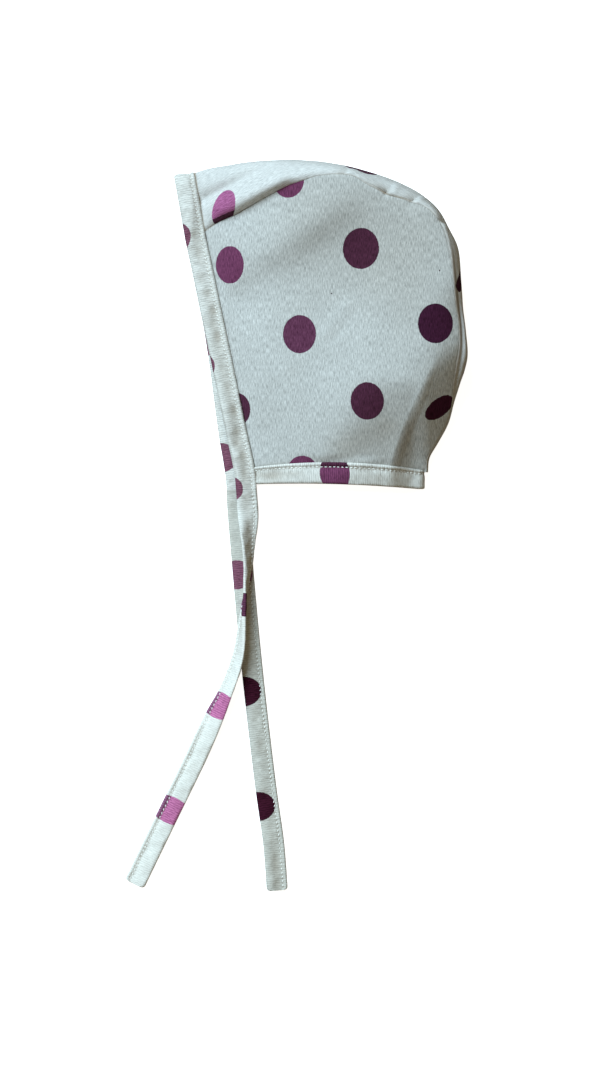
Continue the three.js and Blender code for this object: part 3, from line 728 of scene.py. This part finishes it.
def makeLeftPanel(look):
    plan = sidePlan(look["steps"], faceEdgeX, look["underBand"])
    x, y = plan[..., 0], plan[..., 1]
    away, along = fromSeam(plan)
    fromFace = np.maximum(x - faceEdgeX(y), 0)
    fromNeck = np.maximum(y - archY(neckTop, x), 0)
    calm = smooth(fromFace, 0, look["faceCalm"]) * smooth(fromNeck, 0, look["neckCalm"])
    calm = calm * smooth(away, 0, look["seamCalm"])
    z = clothHeight(x, y) + foldHeight(fineFolds, x, y) * calm
    ripples = sum(high * softNoise(x / wide, y / long, seed) for high, wide, long, seed in look["ripples"])
    z = z + ripples * calm
    z = z - look["faceDip"] * bell(fromFace, look["faceDipWide"])
    z = z - look["neckDip"] * np.exp(-fromNeck / look["neckDipReach"])
    faceGather = softNoise(y / look["gatherWide"], x * 0, 13) * np.exp(-fromFace / look["faceGatherReach"])
    neckGather = softNoise(x / look["gatherWide"], y * 0, 14) * np.exp(-fromNeck / look["neckGatherReach"])
    z = z + look["faceGather"] * faceGather + look["neckGather"] * neckGather
    z = z - quarterRound(away, look["seamRound"]) * seamRoundness(along)
    for nick in eachNick():
        z = z - sinkAt(nick, along, away)
    # painted shade beside the face band, along the near seam, beside the neck band and over the hollows
    seamShade = mix(look["crownShade"], look["backShade"], downBack(along))
    seamShade = seamShade + look["easedShade"] * bell(along - look["easedAt"], look["easedReach"])
    paintedShade = np.maximum.reduce([
        look["faceShade"] * bell(fromFace, look["faceShadeWide"]), seamShade * bell(away, look["seamWide"]),
        look["neckShade"] * bell(fromNeck, look["neckShadeWide"]), foldHeight(paintedHollowShade, x, y)])
    middle = withZ(plan, z)
    printed = printedJersey("printed_cotton_jersey_left", dots["left"], jersey)
    piece = clothWall("leftPanelCloth", middle, plan, paintedShade, [printed, insideMaterial])
    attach(piece, "root")
    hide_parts("side_panel_left")


makeLeftPanel(leftPanel)
print("left side panel made")

rightPanel = {"steps": 110, "underBand": 1.2, "level": 0.72}


def makeRightPanel(look):
    plan = sidePlan(look["steps"], lowerFaceX, look["underBand"])
    z = look["level"] + 0.1 * softNoise(plan[..., 0] / 12, plan[..., 1] / 12, 21)
    middle = withZ(plan, z)
    printed = printedJersey("printed_cotton_jersey_right", dots["right"], jersey)
    piece = clothWall("rightPanelCloth", middle, plan, 0 * z, [printed, insideMaterial], turned=True)
    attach(piece, "root")
    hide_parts("side_panel_right")


makeRightPanel(rightPanel)
print("right side panel made")

# The centre panel stands up beside the near seam from the brow to the crown: how high it rises
# there and how far it hangs over the seam, a row for each section
seamRoll = table("height over", [
    (0, 0), (2.4, 0.1), (3.2, 0.2), (3.4, 0.3), (3.2, 0.6), (2.5, 1.1), (1.3, 0.7), (0.7, 0.2), (0.4, 0),
] + [(0.3, 0)] * 17)
centreStrip = {
    "along": 420, "across": 100, "underBand": 1.2, "seamRound": 0.9, "seamEase": 1.2,
    "rollReach": 3.2, "rollFade": 9, "hangReach": 1.2, "bump": 0.12, "bumpWide": 9, "bumpCalm": 4,
    "backSag": 2.6, "sagFrom": 2.5, "sagFade": 7, "dropReach": 9,
    "seamShade": 0.6, "seamWide": 0.5, "browShade": 0.85, "browWide": 0.65,
    "easedShade": 0.8, "easedAt": 0.4, "easedReach": 0.045, "easedWide": 0.9,
    "backShade": 0.65, "backAt": 10, "backReach": 26, "backWide": 3.2,
}
browFolds = table("fromX fromY toX toY height halfWidth", [
    (-58, 63.5, -27, 78.5, -2.7, 3.3),
    (-50, 58, -20, 73, 1.9, 3.4),
])


def makeCentrePanel(look):
    along = np.linspace(0, 1, look["along"] + 1)
    section = centreSection(along)
    # the rows gather at the edges where the strip stands high, and in its middle where it lies low
    crowd = mix(-0.5, 0.6, smooth(section["upper"][:, 2], 6, 30))[:, None]
    across = mix(0.004, 0.996, crowded(np.linspace(0, 1, look["across"] + 1)[None], crowd))
    middle = centrePoints(along, across)
    outward = section["outward"][:, None, :]
    step = np.linalg.norm(np.diff(middle, axis=1), axis=-1)
    fromUpper = np.concatenate([np.zeros((len(along), 1)), np.cumsum(step, axis=1)], 1)
    toLower = fromUpper[:, -1:] - fromUpper
    length = lengthAlong(middle[:, 0])[:, None]
    roll = {key: value[:, None] for key, value in rowAt(seamRoll, along).items()}
    along = along[:, None]
    rise = roll["height"] * smooth(fromUpper, 0, look["rollReach"]) * bell(fromUpper, look["rollFade"])
    hang = roll["over"] * (fromUpper / look["hangReach"]) * np.exp(1 - fromUpper / look["hangReach"])
    middle = middle - outward * hang[..., None]
    normal = gridNormals(middle)
    facing = np.sign(np.sum(normal * outward))  # the grid's normals may all point inwards
    normal = normal * facing
    upperSide = 1 - smooth(across, 0.3, 0.5)
    brow = foldHeight(browFolds, middle[..., 0], middle[..., 1]) * upperSide
    brow = brow * smooth(fromUpper, 0, look["bumpCalm"])
    middle[..., 2] += (rise + brow) * (normal[..., 2] > -0.3)
    puckers, nickShade = np.zeros_like(fromUpper), np.zeros_like(fromUpper)
    for nick in eachNick():  # each is a sharp valley with a low ridge after it, fading away from the seam
        past = fromNick(nick, along) - nickLook["lean"] * fromUpper
        valley = -np.exp(-np.abs(past) / np.where(past < 0, nick["width"], nickLook["after"]))
        valley = valley + nickLook["ridge"] * bell(past - nickLook["ridgeAt"], nickLook["ridgeWide"])
        flank = np.where(past < 0, np.exp(past / nick["width"]), np.exp(-past / nickLook["shadeAfter"]))
        nickShade += nickLook["shade"] * nick["depth"] * flank * bell(fromUpper, nickLook["shadeReach"])
        middle[..., 2] -= sinkAt(nick, along, fromUpper)
        fade = smooth(fromUpper, 0, look["seamEase"]) * bell(fromUpper, nickLook["reach"])
        puckers += nick["depth"] * valley * fade
    bumps = look["bump"] * softNoise(length / look["bumpWide"], fromUpper / look["bumpWide"], 31)
    bumps = bumps * smooth(fromUpper, 0, look["bumpCalm"]) * smooth(toLower, 0, look["bumpCalm"])
    puckers = nickLook["height"] * puckers
    middle = middle + normal * (bumps + puckers)[..., None]
    middle[..., 2] += np.minimum(puckers, 0.0)
    flatter = seamRoundness(along)
    rounding = quarterRound(fromUpper, look["seamRound"]) * flatter
    rounding = rounding + quarterRound(toLower, look["seamRound"])
    middle = middle - normal * rounding[..., None]
    sag = look["backSag"] * smooth(along, 0.5, 0.62) * smooth(fromUpper, 0, look["sagFrom"])
    sag = sag * bell(fromUpper, look["sagFade"])
    drop = clothDrop(middle[:, :1, 0], middle[:, :1, 1]) * (1 - smooth(fromUpper, 0, look["dropReach"]))
    middle[..., 2] -= drop + sag
    flat = np.stack([np.broadcast_to(length, fromUpper.shape), fromUpper], -1)
    # painted shade beside both seams, at the eased part, in the nicks, down the back and at the brow end
    eased = look["easedShade"] * bell(along - look["easedAt"], look["easedReach"])
    atBack = bell(middle[:, :1, 1] - look["backAt"], look["backReach"]) * smooth(along, 0.46, 0.54)
    atUpper, atLower = bell(fromUpper, look["seamWide"]), bell(toLower, look["seamWide"])
    paintedShade = np.maximum.reduce([
        look["seamShade"] * flatter * atUpper + look["seamShade"] * atLower,
        eased * bell(fromUpper, look["easedWide"]), np.minimum(nickShade, nickLook["shadeMost"]),
        look["backShade"] * atBack * bell(fromUpper, look["backWide"])])
    paintedShade = np.maximum(paintedShade, look["browShade"] * bell(length, look["browWide"]))
    paintedShade = np.concatenate([paintedShade[:1], paintedShade, paintedShade[-1:]])
    reach = look["underBand"]  # both ends go on a little inside the bands
    for end, inner, at in ((0, 1, 0), (-1, -2, len(middle) + 1)):
        onwards = middle[end] + unit(middle[end] - middle[inner]) * reach
        flatOnwards = flat[end] + np.array([reach if end else -reach, 0.0])
        middle = np.insert(middle, at, onwards, axis=0)
        flat = np.insert(flat, at, flatOnwards, axis=0)
    middle[..., 2] = np.maximum(middle[..., 2], cloth["thickness"] / 2)
    # painted shade: the print along the upper seam, under the roll, takes a darker ink
    printed = printedJersey("printed_cotton_jersey_centre", dots["centre"], litStripJersey, turned=True,
                            lip={"middle": 0.0, "half": 2.8, "ink": "plum"})
    piece = clothWall("centrePanelCloth", middle, flat, paintedShade, [printed, insideMaterial], facing < 0)
    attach(piece, "root")
    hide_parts("centre_panel")


makeCentrePanel(centreStrip)
print("centre panel made")

# Bands and ties are made in one way: four folded layers with a stitched line near the inner edge
stitched = {
    "around": 30, "stepLength": 0.42, "stitchAt": 2.3, "groove": 0.6, "bodyReach": 2.0, "lipReach": 0.75,
    "innerRound": 0.9, "outerRound": 1.6, "puff": 0.14, "pull": 0.14, "wave": 0.32, "belly": 0.18,
    "waves": [(1, 6, 9), (0.6, 3, 4)],  # height, size along and across
    "puffLong": 2.8, "puffWide": 5, "pullWide": 1.3, "endEase": 3, "edgeEase": 1.5, "bowRound": 0.6,
    "hollowShade": 0.3, "stitchShade": 0.45, "stitchShadeWide": 0.55, "aboveFloor": 0.02,
}


# Distances across the band from its inner edge and half thicknesses there
def bandSection(width, thickness, look):
    k = np.arange(look["around"])
    w = width * (1 - np.cos(np.pi * k / (look["around"] - 1))) / 2
    edge = np.sqrt(1 - np.clip(1 - w / look["innerRound"], 0, 1) ** 2)
    edge = edge * np.sqrt(1 - np.clip(1 - (width - w) / look["outerRound"], 0, 1) ** 2)
    past = w - look["stitchAt"]
    dip = np.where(past > 0, np.exp(-past / look["bodyReach"]), bell(past, look["lipReach"]))
    groove = 1 - look["groove"] * dip
    belly = 1 + look["belly"] * np.sin(np.pi * np.clip(past / (width - look["stitchAt"]), 0, 1))
    return w, thickness / 2 * edge * groove * belly


def evenly(inner, outer, step):
    length = lengthAlong((inner + outer) / 2)
    at = np.linspace(0, length[-1], int(round(length[-1] / step)) + 1)
    return pointsAt(at, length, inner), pointsAt(at, length, outer), at


def softened(line, reach):
    kernel = np.hanning(2 * reach + 3)[1:-1]
    kernel /= kernel.sum()
    padded = np.concatenate([2 * line[:1] - line[reach:0:-1], line, 2 * line[-1:] - line[-2:-reach - 2:-1]])
    return np.stack([np.convolve(padded[:, k], kernel, "valid") for k in range(3)], -1)


# The rings of a folded band between two edge lines, with what stitches need to be laid on it
def foldBand(inner, outer, thickness, look, seed, dents, bow=None):
    inner, outer, length = evenly(inner, outer, look["stepLength"])
    span = np.linalg.norm(outer - inner, axis=1, keepdims=True)
    across = unit(outer - inner)
    ahead = unit(np.gradient((inner + outer) / 2, axis=0))
    up = unit(np.cross(ahead, across))
    if up[0, 2] < 0:
        up = -up
    width = float(np.median(span))
    w, half = bandSection(width, thickness, look)
    s, row = length[:, None], w[None]
    ease = smooth(s, 0, look["endEase"]) * smooth(length[-1] - s, 0, look["endEase"])
    inBody = smooth(row, look["stitchAt"], look["stitchAt"] + look["edgeEase"])
    inBody = inBody * smooth(width - row, 0, look["edgeEase"])
    swell = 1 + look["puff"] * softNoise(s / look["puffLong"], row / look["puffWide"], seed) * ease
    tight = np.cos(2 * np.pi * s / stitchRun["pitch"])  # the thread draws the cloth in once a stitch
    pull = look["pull"] * tight * bell(row - look["stitchAt"], look["pullWide"])
    waves = sum(high * softNoise(s / long, row / wide, seed + k + 1)
                for k, (high, long, wide) in enumerate(look["waves"]))
    shift = look["wave"] * waves * inBody * ease
    if bow is not None:
        crest = np.interp(s, bow["along"], bow["crest"])
        tent = np.where(row < crest * width, row / (crest * width), (1 - row / width) / (1 - crest))
        rounded = mix(tent, np.sin(np.pi / 2 * tent), look["bowRound"])
        shift = shift + np.interp(s, bow["along"], bow["height"]) * rounded
    hollows = np.zeros_like(shift)
    for at, off, depth, long, wide in zip(*dents.values()):
        hollows = hollows + depth * np.exp(-((s - at) / long) ** 2 - ((row - off) / wide) ** 2)
    shift = shift - hollows
    place = inner[:, None] + across[:, None] * (row * span / width)[..., None]
    top = place + up[:, None] * (half * swell - pull * ease + shift)[..., None]
    under = place + up[:, None] * (-half * swell + pull * ease + shift)[..., None]
    for side in (top, under):
        side[..., 2] = np.maximum(side[..., 2], look["aboveFloor"])
    rings = np.concatenate([top, under[:, -2:0:-1]], 1)
    flatW = np.concatenate([w, 2 * width - w[-2:0:-1], [2 * width]])
    flat = np.stack(np.broadcast_arrays(s, flatW[None]), -1)
    # painted shade along the stitch line and in the dents
    toStitch = np.abs(np.minimum(flatW, 2 * width - flatW) - look["stitchAt"])[None]
    stitchShade = look["stitchShade"] * bell(toStitch, look["stitchShadeWide"]) * (0.6 + 0.4 * tight)
    hollowShade = np.concatenate([hollows, hollows[:, -2:0:-1], hollows[:, :1]], 1) * look["hollowShade"]
    return {"rings": rings, "flat": flat, "paintedShade": np.maximum(stitchShade, hollowShade), "top": top,
            "under": under, "ahead": ahead, "across": across, "up": up, "length": length, "w": w,
            "inner": inner, "outer": outer}


stitchRun = {"pitch": 1.95, "share": 0.72, "rise": 0.14, "sides": 6, "rings": 7}


# Stitches along both faces of a band: short thread arcs whose ends go down into the cloth
def layStitches(name, folded, start, stop, slant, pitch):
    rings, sides = stitchRun["rings"], stitchRun["sides"]
    u = np.linspace(-1, 1, rings)[:, None]
    angle = (2 * np.pi * np.arange(sides) / sides)[:, None]
    radius = thread["radius"] * np.sqrt(np.clip(1 - u ** 4, 0.02, 1))[:, None]
    half = pitch * stitchRun["share"] / 2
    places, length = np.arange(start, stop, pitch), folded["length"]
    ahead, across, up = (unit(pointsAt(places, length, folded[key])) for key in ("ahead", "across", "up"))
    turn = math.radians(slant)
    along = ahead * math.cos(turn) + across * math.sin(turn)
    column = np.interp(stitched["stitchAt"], folded["w"], np.arange(len(folded["w"])))
    j = int(column)
    bodies = []
    for surface, out in ((folded["top"], up), (folded["under"], -up)):
        centre = pointsAt(places, length, mix(surface[:, j], surface[:, j + 1], column - j))
        path = (centre[:, None] + along[:, None] * (u * half)
                + out[:, None] * (stitchRun["rise"] * (1 - 1.6 * u ** 2)))
        side = np.cross(along, out)
        ring = (side[:, None, None] * np.cos(angle) + out[:, None, None] * np.sin(angle)) * radius
        bodies.append((path[:, :, None] + ring).reshape(-1, 3))
    points = np.concatenate(bodies)
    points[:, 2] = np.maximum(points[:, 2], 0.0)  # thread under the bonnet is pressed flat by the floor
    at, skin = tubeFaces(rings, sides)
    ends = np.array([[0, 1, 2, 3], [0, 3, 4, 5]])
    one = np.concatenate([skin, at[0][ends[:, ::-1]], at[-1][ends]])
    first = np.arange(2 * len(places)) * at.size
    quads = (first[:, None, None] + one).reshape(-1, 4)
    twist = np.broadcast_arrays(places[:, None, None] + u * half, angle[:, 0] * thread["radius"], 0.0)
    flats = np.tile(np.stack(twist, -1).reshape(-1, 3), (2, 1))
    piece = quadPiece(name, points, quads, flats, [threadMaterial], sharpAngle=80)
    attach(piece, "root")
    return piece


faceBandLook = {"browSteps": 160, "seed": 41, "stitchSlant": 35, "stitchFrom": 0.5}
# How far the band's body bows up along it, and how far across the crest is, with a row for each fold
# that the gathered seam gives it
faceBow = table("along height crest", [
    (0, 1.3, 0.80), (11, 1.8, 0.82), (17, 2.5, 0.82), (23, 1.8, 0.84), (35, 2.2, 0.84), (41, 2.5, 0.84),
    (47, 2.0, 0.84), (54, 1.4, 0.84), (60, 1.3, 0.84), (66, 1.4, 0.82), (78, 2.3, 0.84), (84, 2.0, 0.84),
    (90, 2.5, 0.86), (96, 1.8, 0.88), (102, 1.6, 0.88), (109, 0.9, 0.85), (115, 0.5, 0.8), (121, 0.9, 0.8),
    (127, 1.2, 0.8), (133, 1.5, 0.6), (139, 2.1, 0.45), (145, 2.1, 0.35), (152, 1.3, 0.3), (160, 0.3, 0.3),
    (174, 0, 0.5), (322, 0, 0.5),
])
faceDents = table("at off depth long wide", [
    (46, 4.4, 0.55, 62, 2.3), (126, 4.6, 0.2, 16, 2.2),  # the long valley beside the stitches
    (8, 5.0, 0.6, 3.6, 1.7), (17, 4.2, 0.8, 3.2, 1.7), (29, 4.4, 0.6, 3.0, 1.8), (40, 3.6, 0.9, 3.8, 1.8),
    (52, 4.4, 0.4, 2.6, 1.6), (62, 5.6, 0.3, 2.4, 1.6), (78, 4.0, 0.9, 3.2, 1.7), (84, 5.0, 0.5, 2.6, 1.8),
    (91, 3.4, 1.0, 3.6, 1.8), (100, 4.4, 0.5, 3.0, 1.8), (108, 6.4, 0.4, 2.6, 2.0),
    (121, 4.8, 0.5, 3.4, 1.8), (129, 4.6, 0.4, 3.4, 1.8), (139, 5.6, 0.1, 4.0, 2.2),
    (24, 6.4, 0.9, 3.6, 2.0),
])


def faceBandEdges():
    low = band["thickness"] * 1.5 + band["gap"]
    flatZ = band["thickness"] / 2
    browY = sections["seamY"][0]

    def pair(p, edgeX, outerZ):
        y = np.minimum(p[:, 1], 76)
        out = unit(np.stack([-np.ones(len(y)), (edgeX(y + 1) - edgeX(y - 1)) / 2, 0 * y], -1))
        outer = p + out * band["faceWidth"]
        outer[:, 2] = outerZ
        return p + out * band["gap"] / 2, outer

    y = np.linspace(band["end"], browY, 280)[:-1]
    left = np.stack([faceEdgeX(y), y, np.maximum(levelAt(y)["frontZ"], low)], -1)
    across = np.linspace(0, 1, faceBandLook["browSteps"])
    brow = centrePoints(np.array([0.0]), across[None])[0]
    brow[:, 2] = np.maximum(brow[:, 2], mix(low, flatZ, smooth(across, 0.42, 0.5)))
    back = np.linspace(browY, band["end"], 280)[1:]
    right = np.stack([lowerFaceX(back), back, np.full(len(back), flatZ)], -1)
    pairs = [pair(left, faceEdgeX, low), pair(brow, faceEdgeX, brow[:, 2]), pair(right, lowerFaceX, flatZ)]
    inner, outer = (softened(np.concatenate([p[k] for p in pairs]), 4) for k in (0, 1))
    return inner, outer


faceInner, faceOuter = faceBandEdges()
faceBand = foldBand(faceInner, faceOuter, band["thickness"], stitched, faceBandLook["seed"],
                    faceDents, faceBow)
faceMaterial = printedJersey("folded_cotton_jersey_face", dots["face"], bandJersey)
faceCloth = bandMesh("faceBandCloth", faceBand, faceMaterial)
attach(faceCloth, "root")
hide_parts("face_band")
faceLength = faceBand["length"][-1]
layStitches("faceBandStitches", faceBand, faceBandLook["stitchFrom"], faceLength,
            faceBandLook["stitchSlant"], stitchRun["pitch"])
print("face band made, mm long:", round(faceLength, 1))

neckLook = {"seed": 51, "dip": 1.1, "tuck": 2.2, "stitchSlant": 0, "stitchPitch": 2.2, "stitchFrom": 3.0}
neckDents = table("at off depth long wide", [
    (3, 5.0, 0.7, 4, 2.8), (12, 6.2, 1.3, 7, 3.4), (24, 5.6, 0.4, 5, 2.4),
])


def neckBandEdges(look):
    flatZ = band["thickness"] / 2
    start = neckTurn["startAngle"]
    angle = np.linspace(start, np.pi, 60)[1:-1]
    out = (np.sin(angle) - math.sin(start)) / (1 - math.sin(start)) * neckTurn["bulge"]
    fall = (np.cos(angle) + 1) / (math.cos(start) + 1)
    settle = smooth(angle, np.pi * 0.6, np.pi) * out[-1]
    lines = []
    for arch in (neckTop, neckLow):
        startX = faceEdgeX(archY(arch, -34.0)) - look["tuck"]
        x = np.linspace(startX, neckTurn["x"], 200)
        y = archY(arch, x)
        dip = look["dip"] * (1 - smooth(x - startX, look["tuck"] - 1, look["tuck"] + 3.5))
        upper = np.stack([x, y, clothHeight(x, y) - dip], -1)
        top = upper[-1]
        turn = np.stack([top[0] + out - settle, top[1] + 0 * angle, mix(flatZ, top[2], fall)], -1)
        backX = np.linspace(neckTurn["x"], lowerFaceX(archY(arch, -34.0)) + 2 * band["gap"], 200)
        lower = np.stack([backX, archY(arch, backX), np.full(len(backX), flatZ)], -1)
        lines.append(softened(np.concatenate([upper, turn, lower]), 3))
    return lines


neckBand = foldBand(*neckBandEdges(neckLook), band["thickness"], stitched, neckLook["seed"], neckDents)
# painted shade: the print on the lip above the stitches takes a darker ink
neckMaterial = printedJersey("folded_cotton_jersey_neck", dots["neck"], bandJersey,
                            lip={"middle": 0.0, "half": 2.3, "ink": "plum"})
neckCloth = bandMesh("neckBandCloth", neckBand, neckMaterial)
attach(neckCloth, "root")
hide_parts("neck_band")
neckLength = neckBand["length"][-1]
layStitches("neckBandStitches", neckBand, neckLook["stitchFrom"], neckLength - 1,
            neckLook["stitchSlant"], neckLook["stitchPitch"])
print("neck band made, mm long:", round(neckLength, 1))

tieLook = {"joinReach": 8.0, "endRound": 1.8, "stitchSlant": 20, "stitchPitch": 2.1, "stitchFrom": 0.6}
# How far each tie bows up along it, and how far across from its stitched edge the crest of the bow is
leftBow = table("along height crest", [
    (0, 1.3, 0.80), (4, 0.6, 0.5), (8, 0.5, 0.15), (12, 0.5, 0.25), (19, 0.1, 0.6), (25, -0.2, 0.6),
    (31, -0.2, 0.6), (40, 0, 0.6), (50, 0.2, 0.5), (70, 0, 0.5), (215, 0, 0.5),
])
rightBow = table("along height crest", [
    (0, 0, 0.5), (70, 0, 0.5), (90, 0.5, 0.6), (130, 0.7, 0.6), (160, 0.4, 0.6), (215, 0.6, 0.6),
])

leftDents = table("at off depth long wide", [(8, 5.4, 0.6, 4.5, 2.6), (19, 4.8, 0.8, 6, 2.6)])
rightDents = table("at off depth long wide", [
    (116, 6.2, 0.3, 5, 2.0), (130, 5.2, 0.6, 5, 2.3), (155, 6.0, 0.4, 5, 2.2), (174, 5.4, 0.5, 6, 2.4),
    (189, 5.0, 1.1, 8, 2.7), (201, 4.8, 0.8, 5, 2.6),
])


# A tie's two edges, starting as the end of the band it goes on from
def tieEdges(route, joinInner, joinOuter):
    share = np.linspace(0, 1, 600)

    def place(at):
        row = rowAt(route, at)
        turn = np.radians(row["turn"])
        upright, level = np.abs(np.sin(turn)), np.abs(np.cos(turn))
        stand = band["tieWidth"] / 2 * upright + band["tieThickness"] / 2 * level
        return np.stack([row["x"], row["y"], np.maximum(row["under"], 0) + stand], -1), turn

    centre, turn = place(share)
    ahead = place(np.minimum(share + 0.004, 1))[0] - place(np.maximum(share - 0.004, 0))[0]
    ahead[:, 2] = 0
    ahead = unit(ahead)
    flatAcross = np.stack([-ahead[:, 1], ahead[:, 0], 0 * turn], -1)
    across = flatAcross * np.cos(turn)[:, None] + np.cross(ahead, flatAcross) * np.sin(turn)[:, None]
    halfWidth = across * band["tieWidth"] / 2
    length = lengthAlong(centre)
    ease = smooth(length, 0, tieLook["joinReach"])[:, None]
    start = (joinInner + joinOuter) / 2 + (centre - centre[0])
    halfJoin = (joinInner - joinOuter) / 2
    inner = mix(start + halfJoin, centre + halfWidth, ease)
    outer = mix(start - halfJoin, centre - halfWidth, ease)
    inset = quarterRound(length[-1] - length, tieLook["endRound"])[:, None] * unit(outer - inner)
    return inner + inset, outer - inset


def makeTie(name, node, joinAt, route, bow, dents, seed, look):
    inner, outer = tieEdges(route, faceBand["inner"][joinAt], faceBand["outer"][joinAt])
    folded = foldBand(inner, outer, band["tieThickness"], stitched, seed, dents, bow)
    fromJoin = smooth(folded["length"], 0, tieLook["joinReach"])
    grow = mix(band["thickness"] / band["tieThickness"], 1, fromJoin)
    rings, around = folded["rings"], stitched["around"]
    middle = (rings + np.concatenate([folded["under"], folded["top"][:, -2:0:-1]], 1)) / 2
    rings = middle + (rings - middle) * grow[:, None, None]
    rings[..., 2] = np.maximum(rings[..., 2], stitched["aboveFloor"])
    under = np.concatenate([rings[:, :1], rings[:, :around - 2:-1]], 1)
    folded.update({"rings": rings, "top": rings[:, :around], "under": under})
    piece = bandMesh(name, folded, printedJersey("folded_cotton_jersey_" + node, **look))
    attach(piece, "root")
    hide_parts(node)
    stop = folded["length"][-1]
    stitches = layStitches(name.replace("Cloth", "Stitches"), folded, tieLook["stitchFrom"],
                           stop - tieLook["stitchFrom"], tieLook["stitchSlant"], tieLook["stitchPitch"])
    print(node, "made, mm long:", round(stop, 1))


# painted light and shade: the turned-over side in a lighter copy, and the print on its lip in its own ink
leftLook = {
    "dots": dots["tieLeft"], "look": bandJersey, "under": litUnderJersey,
    "lip": {"middle": 21.2, "half": 2.5, "ink": "lip"},
}
makeTie("tieLeftCloth", "tie_left", 0, leftTie, leftBow, leftDents, 61, leftLook)
rightLook = {"dots": dots["tieRight"], "look": shadedTieJersey}
makeTie("tieRightCloth", "tie_right", -1, rightTie, rightBow, rightDents, 71, rightLook)

# Floor and light: one large soft light from the upper left, and a warm dim room. The white board under
# the bonnet is lit from within for the camera alone, as a light table is, and gives a warm bounce.
studio = {
    "floor": "#ffffff", "floorBounce": "#6b5c46", "floorGlow": 0.9, "floorSize": 12.0, "floorLevel": -0.1,
    "keyFrom": (-0.45, 0.50, 0.74), "keySoftness": 44.0, "keyPower": 3.75, "keyColour": (0.77, 1.0, 1.15),
    "ambient": "#c7b899", "ambientPower": 0.36,
}


def makeStudio(look):
    half = look["floorSize"] / 2
    mesh = bpy.data.meshes.new("floor")
    corners = [(-half, -half, 0), (half, -half, 0), (half, half, 0), (-half, half, 0)]
    mesh.from_pydata(corners, [], [(0, 1, 2, 3)])
    floor = newObject("floor", mesh)
    floor.location.z = look["floorLevel"] * mm
    material, tree, shader = newMaterial("lit_white_board", {
        "Roughness": 0.8, "Emission Color": (1, 1, 1, 1)})
    seen = addNode(tree, "LightPath").outputs["Is Camera Ray"]
    board = mixColours(tree, seen, look["floorBounce"], look["floor"])
    tree.links.new(board, shader.inputs["Base Color"])
    glow = addNode(tree, "Math", {"operation": "MULTIPLY", 1: look["floorGlow"]}, {0: seen})
    tree.links.new(glow.outputs[0], shader.inputs["Emission Strength"])
    mesh.materials.append(material)
    light = bpy.data.lights.new("keyLight", "SUN")
    light.angle = math.radians(look["keySoftness"])
    light.energy, light.color = look["keyPower"], look["keyColour"]
    key = newObject("keyLight", light)
    key.rotation_mode = "QUATERNION"
    key.rotation_quaternion = Vector(look["keyFrom"]).to_track_quat("Z", "Y")
    world = bpy.data.worlds.new("studioWorld")
    bpy.context.scene.world = world
    world.use_nodes = True
    background = world.node_tree.nodes["Background"]
    background.inputs["Color"].default_value = linear(look["ambient"])
    background.inputs["Strength"].default_value = look["ambientPower"]
    bpy.context.scene.view_settings.view_transform = "Standard"
    bpy.context.scene.view_settings.look = "None"


makeStudio(studio)
print("studio made")
